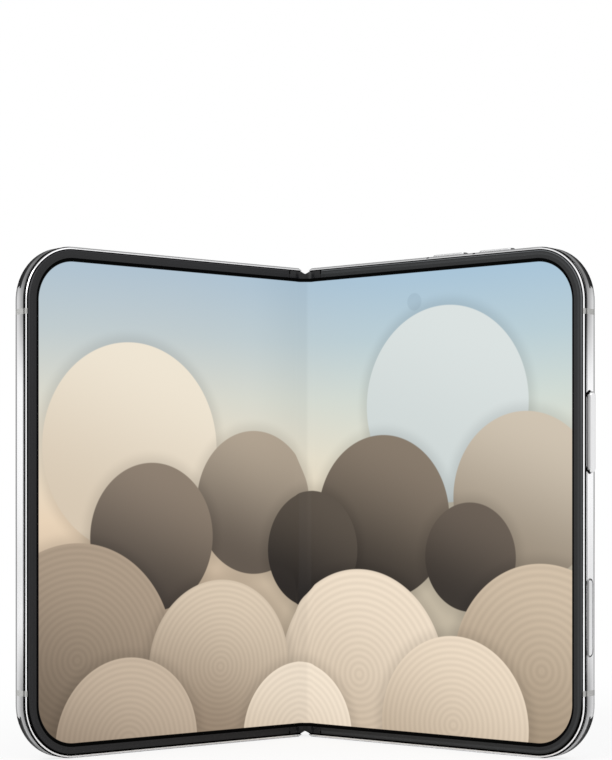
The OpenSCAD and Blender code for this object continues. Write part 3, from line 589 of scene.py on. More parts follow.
def leaf_place(side: Side, bent: bool = False) -> Move:
    """Makes the move of flat points s, y, z into their place at rest.

    Args:
        side: The leaf.
        bent: Whether they belong to the flexible layer, which bends in the fold.

    Returns:
        The move, for an array of points.
    """

    def move(points: np.ndarray) -> np.ndarray:
        """Turns or bends the points, and mirrors them."""
        s, y, z = points.T
        x, y = PHONE.bent(s, y) if bent else PHONE.turned(s, y, np.ones(len(s)))
        return np.column_stack([PHONE.middle + side.value * x, y, z])

    return move


def build_bent(
    surface: Surface, name: str, side: Side, material: Material, mapped: bool = True
) -> Piece:
    """Makes one half of a piece of the flexible layer, which bends between spine and leaf.

    Args:
        surface: Its points and faces, flat.
        name: The name of the piece, without its side.
        side: The leaf.
        material: Its finish.
        mapped: Whether it carries a flat map of the opened phone.

    Returns:
        The piece, shaped round the fold at rest.
    """
    place = leaf_place(side, bent=True)
    piece = surface.build(f"{name}_{side.label}", place, material, side if mapped else None)
    points = [Vector((PHONE.middle + side.value * x, y, 0.0)) for x, y in PHONE.fold_line()]
    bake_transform(piece)
    return piece


# Finishes


@dataclass(frozen=True)
class Finish:
    """A finish with fine grain in its colour, roughness and relief."""

    name: str
    colour: Colour
    roughness: float = 0.5
    metallic: float = 0.0
    grain: float = 0.15 * MM
    relief: float = 0.004 * MM
    mottle: float = 0.08
    stretch: Point = (1.0, 1.0, 1.0)
    coat: float = 0.0
    ior: float = 1.5
    broad_scale: float = 60.0

    def material(self) -> Material:
        """Makes the material."""
        made = bpy.data.materials.new(self.name)
        made.use_nodes = True
        made.diffuse_color = (*self.colour, 1.0)
        self.fill(Graph(made.node_tree))
        return made

    def fine(self, graph: Graph) -> Socket:
        """Noise as fine as the grain."""
        return graph.noise(graph.stretched(self.stretch), 1 / self.grain, 4.0)

    def broad(self, graph: Graph) -> Socket:
        """Noise that changes slowly over the piece."""
        return graph.noise(graph.place(), self.broad_scale, 2.0)

    def fill(self, graph: Graph) -> None:
        """Builds the nodes: fine grain, and a broad change of tone over it."""
        fine, broad = self.fine(graph), self.broad(graph)
        dull = 0.8 + fine * 0.25 + broad * 0.15
        tone = 1.0 - self.mottle + (fine + broad) * self.mottle
        graph.principled({
            "Base Color": graph.scale(self.colour, tone),
            "Roughness": dull * self.roughness,
            "Metallic": self.metallic,
            "Normal": graph.bump(fine, self.relief),
            "IOR": self.ior,
            "Coat Weight": self.coat,
        })


@dataclass(frozen=True)
class Spot:
    """A place on a leaf: right of and above the middle of the screen, and behind its face."""

    across: Socket
    up: Socket
    depth: Socket


def spot_on(graph: Graph, side: Side) -> Spot:
    """The place of a point on a leaf, in millimetres."""
    return Spot(*PHONE.flat_place(graph, side), PHONE.local_depth(graph, side))


@dataclass(frozen=True)
class Key:
    """One key, by where its middle lies along its edge and how long it is, in millimetres."""

    place: float
    length: float
    on_top: bool = False
    shadow: float = 1.0

    width: float = 2.2
    depth: float = 2.3
    # Sizes of the painted shadow and painted shade round the key and on its own ends.
    recess_length: float = 1.6
    recess_rear: float = 0.14
    recess_widens: float = 0.36
    gap_from: float = -0.75
    gap_to: float = -0.12
    gap_depth: float = 0.35
    trough_width: float = 0.55
    end_width: float = 0.42

    def run(self, spot: Spot) -> Socket:
        """How far a place lies past the middle of the key, along its edge."""
        return (spot.across if self.on_top else spot.up) - self.place

    def away(self, spot: Spot) -> Socket:
        """How far outside the key's outline a place on the frame lies."""
        past = (self.run(spot).absolute() - (self.length - self.width) / 2).most(0.0)
        over = spot.depth - self.depth
        return (past * past + over * over).root() - self.width / 2

    def recess(self, spot: Spot) -> Socket:
        """Mask of the painted shadow round both ends of the key, wider towards the screen."""
        start = self.length / 2 - self.recess_length
        ends = self.run(spot).absolute().ramp(start, start + 0.6)
        limit = PHONE.half if self.on_top else PHONE.end
        edge = (spot.up if self.on_top else spot.across).ramp(limit - 2.0, limit - 1.8)
        reach = self.recess_rear + spot.depth.ramp(2.9, 1.2) * self.recess_widens
        return (self.away(spot) - reach).ramp(0.06, -0.06) * ends * edge * self.shadow

    def gap(self, spot: Spot) -> Socket:
        """Mask of the painted shade in the gap at the hinge end of a key of the top edge."""
        run = (self.run(spot) + self.length / 2).band(self.gap_from, self.gap_to, 0.06)
        top = spot.up.ramp(PHONE.half - 0.4, PHONE.half - 0.35)
        return run * top * spot.depth.ramp(self.gap_depth + 0.01, self.gap_depth - 0.01)

    def trough(self, spot: Spot) -> Socket:
        """Mask of the shaded trough along the screen side of the key."""
        front = self.depth - self.width / 2
        near = self.away(spot).ramp(self.trough_width, self.trough_width - 0.15)
        return near * spot.depth.ramp(front + 0.1, front - 0.1)

    def dark_end(self, spot: Spot) -> Socket:
        """Mask of the painted shade on the ends of the key itself."""
        half = self.length / 2
        return self.run(spot).absolute().band(half - self.end_width, half + 0.2, 0.08)


@dataclass(frozen=True)
class PolishedBand(Finish):
    """The polished frame: a bright lip chamfer between black lines, and a mirror-like band greyed by painted
    shade.
    """

    side: Side = Side.RIGHT
    line_from: float = 0.33
    line_to: float = 0.95
    line_side: float = 0.16
    lip_end: float = 0.53
    lip_side: float = 0.5
    lip_depth: float = 1.0
    # Painted shade on the band, for the darker surroundings it reflects: away from the middle, at the rear edge,
    # in the corners, at the ends, beside the guards and beside the keys.
    fade_from: float = 24.0
    fade_to: float = 46.0
    fade_rear: float = 0.3
    fade_front: float = 0.36
    rear_from: float = 3.5
    rear_to: float = 3.7
    rear_shade: float = 0.5
    corner_shade: float = 0.42
    top_shade: float = 0.22
    end_shade: float = 0.12
    guard_depth: float = 2.9
    guard_end: float = 10.5
    guard_shade: float = 0.96
    trough_shade: float = 0.3
    keys: Tuple[Key, ...] = ()
    broad_scale: float = 90.0

    def tone(self, spot: Spot) -> Socket:
        """How light the metal is painted: painted shade behind the line, away from the middle, in the corners, at
        the rear edge, beside the guards and at the ends.
        """
        half, end, radius = PHONE.half, PHONE.end, PHONE.radius
        depth, across, height = spot.depth, spot.across, spot.up.absolute()
        # Painted shade standing for darker reflections of the polished band.
        behind = depth.ramp(self.line_to - 0.3, self.line_to)
        away_shade = self.fade_rear + depth.ramp(self.rear_to, self.line_to) * self.fade_front
        away_shade = height.ramp(self.fade_from, self.fade_to) * away_shade
        corner = height.ramp(half - 1.1 * radius, half - 0.45 * radius)
        corner = corner + height.ramp(half - 0.45 * radius, half - 0.15 * radius) * 1.2
        corner = corner * across.ramp(end - 1.15 * radius, end - 0.8 * radius) * self.corner_shade
        rear = depth.ramp(self.rear_from, self.rear_to) * self.rear_shade
        guard = height.ramp(half - self.guard_end - 0.2, half - self.guard_end + 0.3)
        guard = guard * depth.band(self.guard_depth - 0.5, self.guard_depth + 0.1, 0.08)
        guard = guard * across.ramp(end - radius, end - 0.8 * radius) * self.guard_shade
        side = behind * away_shade.most(corner).most(rear).most(guard)
        # Painted shade at the top and bottom ends, stronger at the top.
        edge = height.ramp(half - 0.8, half - 0.6)
        edge = edge * across.ramp(end - 0.7 * radius, end - 1.2 * radius)
        edge = edge * (self.end_shade + spot.up.ramp(-10.0, 10.0) * self.top_shade)
        return (1.0 - side) * (1.0 - edge)

    def gaps(self, spot: Spot) -> Socket:
        """Mask of the black: the line behind the lip, a dark joint widened by painted shade, and painted shade
        before the lip and round the keys.
        """
        inset = PHONE.inset(spot.across, spot.up)
        width, end, radius = spot.across.absolute(), PHONE.end, PHONE.radius
        corner = width.ramp(end - radius, end - 0.8 * radius)
        lip = width.ramp(end - 0.4 * radius, end - 0.1 * radius)
        lip = self.lip_end - lip * (self.lip_end - self.lip_side)
        # Painted shade in the gap between the lip and the rim.
        before = (inset - lip).ramp(0.0, 0.05)
        before = before * spot.depth.ramp(self.lip_depth, self.lip_depth - 0.05)
        # The line behind the lip: a dark joint over its groove, widened by painted shade.
        start = self.line_from - corner * (self.line_from - self.line_side)
        behind = (spot.depth - start).ramp(-0.03, 0.0)
        behind = behind * spot.depth.ramp(self.line_to + 0.03, self.line_to)
        gaps = behind.most(before)
        # Painted shadow round the ends of the keys, and painted shade in the gaps of the top keys.
        for key in self.keys:
            gaps = gaps.most(key.recess(spot))
            if key.on_top:
                gaps = gaps.most(key.gap(spot))
        return gaps

    def fill(self, graph: Graph) -> None:
        """Builds the nodes; the lines lie at known depths behind the screen face."""
        spot = spot_on(graph, self.side)
        scratches, broad = graph.scratches(), self.broad(graph)
        tone = self.tone(spot) * (0.97 + scratches * 0.05)
        # Painted shade along the screen side of each key.
        for key in self.keys:
            tone = tone * (1.0 - key.trough(spot) * self.trough_shade)
        metal = graph.shader({
            "Base Color": graph.scale(self.colour, tone),
            "Roughness": self.roughness + (scratches + broad) * 0.04,
            "Metallic": 1.0,
            "Normal": graph.bump(scratches, SCRATCH_DEPTH),
        })
        graph.surface_with_gaps(metal, self.gaps(spot), broad)


@dataclass(frozen=True)
class KeyPolish(Finish):
    """A polished key with a duller wall towards the screen, painted shade on that wall and at its rear edge, and
    painted shade at the ends of the top keys.
    """

    wall_to: float = 1.34
    wall_shade: float = 0.5
    face: float = 0.84
    rear_shade: float = 0.15
    end_shade: float = 0.9
    keys: Tuple[Key, ...] = ()

    def fill(self, graph: Graph) -> None:
        """Builds the nodes; the wall lies at a known depth behind the screen face."""
        spot = spot_on(graph, Side.RIGHT)
        wall = spot.depth.ramp(self.wall_to, self.wall_to - 0.12)
        scratches = graph.scratches()
        # Painted shade on the wall and towards the rear edge.
        tone = (0.97 + scratches * 0.06) * (self.face - wall * self.wall_shade)
        tone = tone * (1.0 - spot.depth.ramp(3.0, 3.3) * self.rear_shade)
        # Painted shade at the ends of the top keys.
        for key in self.keys:
            tone = tone * (1.0 - key.dark_end(spot) * self.end_shade)
        graph.principled({
            "Base Color": graph.scale(self.colour, tone),
            "Roughness": self.roughness + scratches * 0.04 + wall * 0.3,
            "Metallic": 1.0 - wall * 0.9,
            "Normal": graph.bump(scratches, SCRATCH_DEPTH),
        })


@dataclass(frozen=True)
class AntennaPolymer(Finish):
    """The polymer of an antenna band, shaded where the frame's dark line and rear edge cross it."""

    side: Side = Side.RIGHT
    line_from: float = 0.32
    line_to: float = 0.85
    line_shade: float = 0.8
    rear_from: float = 3.6
    rear_to: float = 3.8
    rear_shade: float = 0.3

    def fill(self, graph: Graph) -> None:
        """Builds the nodes; the shaded parts lie at known depths behind the screen face."""
        depth = PHONE.local_depth(graph, self.side)
        fine = self.fine(graph)
        shade = depth.band(self.line_from, self.line_to, 0.08) * self.line_shade
        shade = shade.most(depth.ramp(self.rear_from, self.rear_to) * self.rear_shade)
        graph.principled({
            "Base Color": graph.scale(self.colour, (0.94 + fine * 0.1) * (1.0 - shade)),
            "Roughness": self.roughness + fine * 0.1,
            "Normal": graph.bump(fine, self.relief),
        })


@dataclass(frozen=True)
class RimPolymer(Finish):
    """The dark rim: satin polymer, with black painted as shade round its outside, in the seams and at its inner
    step, painted shade in the middle of the fold, and painted highlights on its outer bevel.
    """

    side: Optional[Side] = None
    # Where black is painted as shade, how dark the painted shade in the middle of the fold is, and how bright the
    # painted highlights on the bevel are.
    gap_to: float = 0.8
    gap_below: float = 1.06
    step_from: float = 2.87
    step_ends: float = 0.2
    hook: float = 1.05
    below_from: float = -40.0
    below_to: float = -52.0
    valley: float = 0.55
    bevel_light: float = 2.8
    bevel_rise: float = 3.6
    sheen: float = 0.0

    def gaps(self, across: Socket, inset: Socket, step: Socket, below: Socket) -> Socket:
        """Mask of the black painted as shade.

        Args:
            across: How far right of the middle of the screen a place is.
            inset: How far inside the outline of the opened phone it is.
            step: The same for the inner step, which lies further in at the top and bottom.
            below: Mask of the lower part of the phone, where the painted shade of the outer gap is wider.

        Returns:
            The mask.
        """
        # Painted shade in the gap round the outside, wider at the bottom, and in the seams and at the inner step.
        outer = self.gap_to + below * (self.gap_below - self.gap_to)
        edge = (inset - outer).ramp(0.04, -0.04)
        place = PHONE.rim_seam / MM
        seam = across.absolute().band(place - 0.2, place + 0.12, 0.04)
        seam = seam * inset.ramp(self.gap_to + self.hook, self.gap_to + self.hook - 0.2)
        return edge.most(step.ramp(self.step_from - 0.04, self.step_from + 0.04)).most(seam)

    def fill(self, graph: Graph) -> None:
        """Builds the nodes; the black parts lie at known distances inside the outline."""
        across, up = PHONE.flat_place(graph, self.side)
        inset = PHONE.inset(across, up)
        below = up.ramp(self.below_from, self.below_to)
        gaps = self.gaps(across, inset, PHONE.inset(across, up, self.step_ends), below)
        fine, broad = self.fine(graph), self.broad(graph)
        # Painted highlight on the outer bevel, brighter towards the top and none at the bottom, and painted
        # reflection streaks inside it.
        bevel = inset.band(0.85, 1.02, 0.05) * (1.0 - below)
        bevel = bevel * (self.bevel_light + up.ramp(0.0, 50.0) * self.bevel_rise)
        streak_highlight = inset.band(1.36, 1.84, 0.06)
        tone = (0.88 + (fine + broad) * 0.12) * (1.0 + (bevel + streak_highlight) * self.sheen)
        # Painted shade in the concave middle of the fold.
        tone = tone * (1.0 - across.absolute().ramp(1.3, 0.4) * self.valley)
        satin = graph.shader({
            "Base Color": graph.scale(self.colour, tone),
            "Roughness": self.roughness * 0.85 + fine * 0.1,
            "Normal": graph.bump(fine, self.relief),
            "Specular IOR Level": 0.25,
        })
        graph.surface_with_gaps(satin, gaps, broad)


@dataclass(frozen=True)
class CoverGlass(Finish):
    """Glass with ink behind it and faint traces of handling."""

    tint: Colour = (0.01, 0.01, 0.012)

    def fill(self, graph: Graph) -> None:
        """Builds the nodes: the ink's tone and the smears that dull the polish."""
        smear = graph.noise(graph.stretched((1.0, 1.0, 0.35)), 55.0, 5.0).ramp(0.45, 0.75)
        fleck = graph.noise(graph.place(), 4200.0, 2.0)
        glass = graph.scale(self.colour, 0.97 + fleck * 0.06)
        graph.principled({
            "Base Color": graph.mix(smear * 0.25, glass, self.tint),
            "Roughness": self.roughness + smear * 0.06 + fleck * 0.02,
            "Metallic": self.metallic,
            "Normal": graph.bump(fleck, 0.0003 * MM),
            "IOR": self.ior,
            "Coat Weight": self.coat,
            "Coat Roughness": 0.04,
        })


@dataclass(frozen=True)
class WoundCopper(Finish):
    """Flat-wound wire: fine rings round the middle of the coil."""

    centre: Point = (0.0, 0.0, 0.0)
    pitch: float = 0.5 * MM

    def fill(self, graph: Graph) -> None:
        """Builds the nodes: rings by distance from the coil's middle."""
        away = graph.node(
            "ShaderNodeVectorMath", {"operation": "DISTANCE"}, {0: graph.place(), 1: self.centre},
            out="Value",
        )
        ring = (away * (2 * math.pi / self.pitch)).sine() * 0.5 + 0.5
        graph.principled({
            "Base Color": graph.scale(self.colour, 0.45 + ring * 0.6),
            "Roughness": 0.45 - ring * 0.15,
            "Metallic": 0.9,
            "Normal": graph.bump(ring, 0.05 * MM),
        })


@dataclass(frozen=True)
class BoardLaminate(Finish):
    """Lacquered circuit board with a fine net of traces and gold pads."""

    trace_scale: float = 900.0
    pad_scale: float = 1400.0
    trace_colour: Colour = srgb(30, 110, 74)
    pad_colour: Colour = srgb(212, 170, 90)

    def fill(self, graph: Graph) -> None:
        """Builds the nodes: a cell pattern for traces, and small pads."""
        kind = "ShaderNodeTexVoronoi"
        settings = {"feature": "DISTANCE_TO_EDGE", "distance": "EUCLIDEAN"}
        inputs = {"Vector": graph.place(), "Scale": self.trace_scale}
        trace = graph.node(kind, settings, inputs, out="Distance").ramp(0.09, 0.05)
        inputs = {"Vector": graph.place(), "Scale": self.pad_scale}
        pad = graph.node(kind, None, inputs, out="Distance").ramp(0.16, 0.12)
        lacquer = graph.mix(trace, self.colour, self.trace_colour)
        graph.principled({
            "Base Color": graph.mix(pad, lacquer, self.pad_colour),
            "Roughness": 0.38 - pad * 0.1,
            "Metallic": pad,
            "Normal": graph.bump(trace, 0.02 * MM),
            "Coat Weight": 0.3,
        })


@dataclass(frozen=True)
class Disc:
    """One overlapping disc of the picture, in units of 60 mm from the middle of the screen."""

    x: float
    z: float
    radius: float
    light: Colour
    deep: Colour
    rings: float = 0.0

    shadow: float = 0.18
    ring_shade: float = 0.05

    def laid_on(self, under: Socket, x: Socket, z: Socket) -> Socket:
        """Lays the disc over a picture, with a soft shadow round it."""
        graph, dx, dz = under.graph, x - self.x, z - self.z
        away = (dx * dx + dz * dz).root()
        rise = (dz * 0.94 + dx * 0.34) * (1 / self.radius)
        colour = graph.mix(rise.ramp(-0.9, 1.0), self.deep, self.light)
        if self.rings:
            ring = (away * (2 * math.pi * self.rings)).sine()
            colour = graph.scale(colour, 1.0 + ring * self.ring_shade)
        shade = away.ramp(self.radius + 0.06, self.radius - 0.01) * self.shadow
        under = graph.scale(under, 1.0 - shade)
        return graph.mix(away.ramp(self.radius + 0.003, self.radius - 0.003), under, colour)


@dataclass(frozen=True)
class DiscPicture(Finish):
    """The lit inner screen, showing a plain generic picture of overlapping paper discs.

    The ground runs from pale blue over cream to sand. Dark discs lie across its middle, and
    sand-coloured discs with fine rings fill its foot.
    """

    unit: float = 60.0
    edge_inset: float = 3.58
    end_inset: float = 0.045
    lean: float = 0.07
    camera_s: float = 35.1
    camera_drop: float = 10.7
    camera_radius: float = 2.15
    camera_shade: float = 0.12
    camera_colour: Colour = srgb(70, 92, 116)
    crease_shade: float = 0.07
    left_tint: Colour = srgb(255, 250, 246)
    right_tint: Colour = srgb(246, 253, 255)

    ground: Tuple[Tuple[float, Colour], ...] = (
        (0.00, srgb(186, 168, 146)),
        (0.34, srgb(205, 188, 166)),
        (0.46, srgb(231, 214, 190)),
        (0.60, srgb(231, 223, 205)),
        (0.73, srgb(215, 219, 211)),
        (0.86, srgb(192, 207, 213)),
        (1.00, srgb(174, 197, 215)),
    )
    discs: Tuple[Disc, ...] = (
        Disc(0.74, 0.40, 0.40, srgb(218, 225, 224), srgb(206, 214, 213)),
        Disc(-0.90, 0.22, 0.42, srgb(238, 228, 210), srgb(214, 199, 178)),
        Disc(1.12, 0.02, 0.34, srgb(206, 194, 176), srgb(150, 137, 120)),
        Disc(-0.28, 0.00, 0.30, srgb(176, 162, 144), srgb(98, 88, 78)),
        Disc(0.42, -0.06, 0.34, srgb(134, 121, 106), srgb(58, 52, 46)),
        Disc(-0.80, -0.14, 0.30, srgb(140, 126, 111), srgb(70, 62, 55)),
        Disc(0.04, -0.20, 0.25, srgb(92, 83, 73), srgb(42, 38, 35)),
        Disc(0.86, -0.22, 0.22, srgb(104, 93, 82), srgb(56, 50, 44)),
        Disc(-1.16, -0.62, 0.46, srgb(170, 152, 132), srgb(104, 90, 75), 40.0),
        Disc(0.30, -0.72, 0.44, srgb(236, 220, 199), srgb(196, 178, 156), 36.0),
        Disc(1.20, -0.66, 0.42, srgb(206, 188, 165), srgb(160, 142, 120), 34.0),
        Disc(-0.46, -0.68, 0.36, srgb(216, 199, 177), srgb(146, 128, 109), 44.0),
        Disc(0.78, -0.90, 0.36, srgb(232, 215, 193), srgb(182, 164, 142), 40.0),
        Disc(-0.92, -0.96, 0.34, srgb(196, 178, 157), srgb(132, 115, 98), 42.0),
        Disc(-0.04, -0.98, 0.30, srgb(240, 225, 205), srgb(198, 180, 158), 38.0),
    )

    def fill(self, graph: Graph) -> None:
        """Builds the nodes: the picture as emitted light under a dark, faintly glossy glass."""
        across, up = PHONE.flat_place(graph, None)
        inset = PHONE.inset(across - self.lean, up, self.end_inset)
        lit = inset.ramp(self.edge_inset - 0.06, self.edge_inset + 0.06)
        x, z = across * (1 / self.unit), up * (1 / self.unit)
        picture = self._ground(graph, x, z)
        for disc in self.discs:
            picture = disc.laid_on(picture, x, z)
        crease = x.band(-0.30, 0.0, 0.02) * x.ramp(-0.34, 0.0) * self.crease_shade
        picture = graph.scale(picture, 1.0 - crease)
        camera = self._camera(across, up) * self.camera_shade
        picture = graph.mix(camera, picture, self.camera_colour)
        graph.principled({
            "Base Color": (0.004, 0.004, 0.005),
            "Roughness": 0.14 + graph.noise(graph.place(), 70.0, 4.0) * 0.06,
            "Emission Color": graph.scale(picture, lit),
            "Emission Strength": 1.0,
            "IOR": 1.14,
        })

    def _ground(self, graph: Graph, x: Socket, z: Socket) -> Socket:
        """The ground behind the discs, a little warmer on the left and bluer on the right."""
        ramp = graph.node("ShaderNodeValToRGB", {"stops": self.ground}, {"Fac": z * 0.53 + 0.5})
        tint = graph.mix(x.ramp(-0.8, 0.8), self.left_tint, self.right_tint)
        return graph.mix(1.0, ramp, tint, "MULTIPLY")

    def _camera(self, across: Socket, up: Socket) -> Socket:
        """Mask of the camera that sits under the screen."""
        dx, dz = across - self.camera_s, up - (PHONE.half - self.camera_drop)
        away = (dx * dx + dz * dz).root()
        return away.ramp(self.camera_radius + 0.2, self.camera_radius - 0.2)


# Sub-assemblies


@dataclass
class InnerScreen:
    """The flexible inner screen, one mesh for each half, lying flat when the phone is opened."""

    fold_steps: int = 24
    leaf_steps: int = 16
    corner_steps: int = 14
    rows: int = 18
    picture: DiscPicture = DiscPicture("inner_screen_picture", (0.5, 0.5, 0.5))

    def columns(self) -> List[float]:
        """Distances from the hinge at which the mesh has a column, closer in the fold."""
        end = PHONE.leaf_width - PHONE.screen_inset
        radius = PHONE.corner_radius - PHONE.screen_inset
        reach = 1.2 * PHONE.fold_reach
        fold = [reach * k / self.fold_steps for k in range(self.fold_steps)]
        straight = end - radius - reach
        leaf = [reach + straight * k / self.leaf_steps for k in range(self.leaf_steps)]
        corner = [
            end - radius + radius * math.sin(0.5 * math.pi * k / self.corner_steps)
            for k in range(self.corner_steps + 1)
        ]
        return fold + leaf + corner

    def half_height(self, s: float) -> float:
        """Half the height of the screen at a distance from the hinge, with its round corners."""
        radius = PHONE.corner_radius - PHONE.screen_inset
        past = max(0.0, s - (PHONE.leaf_width - PHONE.corner_radius))
        drop = radius - math.sqrt(max(0.0, radius * radius - past * past))
        return PHONE.height / 2 - PHONE.screen_inset - drop

    def build(self, side: Side, material: Material) -> Piece:
        """Builds one half.

        Args:
            side: The leaf.
            material: The lit picture.

        Returns:
            The mesh, shaped round the fold at rest.
        """
        surface = Surface()
        rows = []
        for s in self.columns():
            half = self.half_height(s)
            heights = [
                PHONE.height / 2 + half * (2 * k / self.rows - 1) for k in range(self.rows + 1)
            ]
            front = [(s, 0.0, z) for z in heights]
            rear = [(s, PHONE.screen_thickness, z) for z in reversed(heights)]
            rows.append(front + rear)
        surface.loft(rows)
        piece = build_bent(surface, "inner_screen", side, material)
        return piece

    def dress(self) -> None:
        """Builds both halves in place of the flat screens and the fold between them."""
        material = self.picture.material()
        left = self.build(Side.LEFT, material)
        right = self.build(Side.RIGHT, material)
        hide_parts("left_screen", "fold_screen")
        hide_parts("right_screen")
        log.info("inner screen: %d columns for each half", len(self.columns()))


@dataclass
class FoldTrims:
    """The soft trims that carry the rim across the hinge at the top and the bottom."""

    steps: int = 42
    bevel: float = 0.25 * MM
    inner_bevel: float = 0.15 * MM
    dip: float = 0.65 * MM
    dip_width: float = 1.3 * MM
    clearance: float = 0.02 * MM

    def outline(self, s: float) -> List[Tuple[float, float]]:
        """Cross-section at a distance from the hinge, as height above the leaf's end and depth."""
        top = -PHONE.rim_raise
        outer = PHONE.rim_outer + self.dip * max(0.0, 1 - s / self.dip_width)
        return [
            (outer, PHONE.screen_thickness),
            (outer, top + self.bevel),
            (outer + 0.3 * self.bevel, top + 0.3 * self.bevel),
            (outer + self.bevel, top),
            (PHONE.rim_inner - self.inner_bevel, top),
            (PHONE.rim_inner, top + self.inner_bevel),
            (PHONE.rim_inner, -self.clearance),
            (PHONE.screen_inset, -self.clearance),
            (PHONE.screen_inset, PHONE.screen_thickness),
        ]

    def build(self, side: Side, material: Material) -> Piece:
        """Builds the upper and lower trim of one side, shaped round the fold at rest."""
        reach = PHONE.rim_seam - PHONE.seam_gap / 2
        surface = Surface()
        for flip in (False, True):
            ways = [reach * k / self.steps for k in range(self.steps + 1)]
            surface.loft([
                [(s, y, PHONE.height - z if flip else z) for z, y in self.outline(s)] for s in ways
            ])
        piece = build_bent(surface, "fold_trims", side, material)
        return piece

    def dress(self, material: Material) -> None:
        """Builds both sides in place of the trims."""
        left = self.build(Side.LEFT, material)
        self.build(Side.RIGHT, material)
        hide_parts("fold_trims")
        log.info("fold trims: %d steps", self.steps)


@dataclass
class HingeCircuits:
    """The two flexible circuits that cross the hinge behind the screen."""

    module_pitch: float = 37.7 * MM
    width: float = 9 * MM
    thickness: float = 0.1 * MM
    front: float = 0.33 * MM
    rear: float = 0.88 * MM
    step_start: float = 2.9 * MM
    step_length: float = 0.9 * MM
    reach: float = 8.25 * MM
    steps: int = 30

    def depth(self, s: float) -> float:
        """Depth of the circuit's face at a distance from the middle."""
        t = min(max((s - self.step_start) / self.step_length, 0.0), 1.0)
        return self.front + (self.rear - self.front) * t * t * (3 - 2 * t)

    def build(self, side: Side, material: Material) -> Piece:
        """Builds the circuits of one side, shaped round the fold at rest."""
        surface = Surface()
        for sign in (-1, 1):
            middle = PHONE.height / 2 + sign * self.module_pitch / 2
            low, high = middle - self.width / 2, middle + self.width / 2
            rows = []
            for k in range(self.steps + 1):
                s = self.reach * k / self.steps
                front = self.depth(s)
                rear = front + self.thickness
                rows.append([(s, front, low), (s, front, high), (s, rear, high), (s, rear, low)])
            surface.loft(rows)
        piece = build_bent(surface, "hinge_circuits", side, material, mapped=False)
        return piece

    def dress(self, material: Material) -> None:
        """Builds both sides in place of the hinge's circuits."""
        left = self.build(Side.LEFT, material)
        self.build(Side.RIGHT, material)
        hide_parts("hinge_flex")
        log.info("hinge circuits: %.1f mm wide", self.width / MM)


@dataclass
class RearLenses:
    """The two rear lenses: stepped barrels, domed front elements and flat cover glasses."""

    plateau_s: float = 49 * MM
    plateau_drop: float = 21.1 * MM
    pitch: float = 27 * MM
    plateau_top: float = 6.3 * MM
    ring_inner: float = 5.57 * MM
    dome_radius: float = 3.1 * MM
    dome_rise: float = 0.32 * MM

    def centres(self) -> List[Tuple[float, float]]:
        """Places of both lenses, as s and z."""
        z = PHONE.height - self.plateau_drop
        return [(self.plateau_s + e * self.pitch / 2, z) for e in (-1, 1)]

    def turned(
        self, name: str, material: Material, outline: Sequence[Tuple[float, float]]
    ) -> Piece:
        """Builds one round form in both lenses.

        Args:
            name: The name of the piece.
            material: Its finish.
            outline: Pairs of radius and height over the plateau, in millimetres.

        Returns:
            The piece.
        """
        surface = Surface()
        placed = [(radius * MM, self.plateau_top + rise * MM) for radius, rise in outline]
        for centre in self.centres():
            surface.turned_about_depth(centre, placed)
        return surface.build(name, leaf_place(Side.RIGHT), material)

    def barrels(self, material: Material) -> Piece:
        """Builds the stepped black barrels inside the rings."""
        ring = self.ring_inner / MM
        return self.turned("lens_barrels", material, [
            (ring, 0.0), (ring, 0.55), (5.1, 0.55), (5.0, 0.35), (4.2, 0.35), (4.1, 0.15),
            (3.3, 0.1), (3.2, -0.02), (0.1, -0.02),
        ])

    def elements(self, material: Material) -> Piece:
        """Builds the domed front elements."""
        radius, rise = self.dome_radius / MM, self.dome_rise / MM
        angles = [0.5 * math.pi * k / 8 for k in range(8)]
        dome = [(radius * math.cos(a), rise * math.sin(a)) for a in angles]
        return self.turned("lens_elements", material, [(radius, -0.02)] + dome)

    def covers(self, material: Material) -> Piece:
        """Builds the flat cover glasses with a soft edge."""
        ring = self.ring_inner / MM
        return self.turned("lens_covers", material, [
            (0.05, 0.57), (ring - 0.03, 0.57), (ring - 0.03, 0.62), (ring - 0.1, 0.68),
            (0.05, 0.68),
        ])

    def dress(self, black: Material, coated: Material, clear: Material) -> None:
        """Builds all lens pieces in place of the plain glasses."""
        pieces = [self.barrels(black), self.elements(coated), self.covers(clear)]
        for piece in pieces:
            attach(piece, "right_leaf")
        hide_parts("lens_glasses")
        log.info("rear lenses: %d", len(self.centres()))


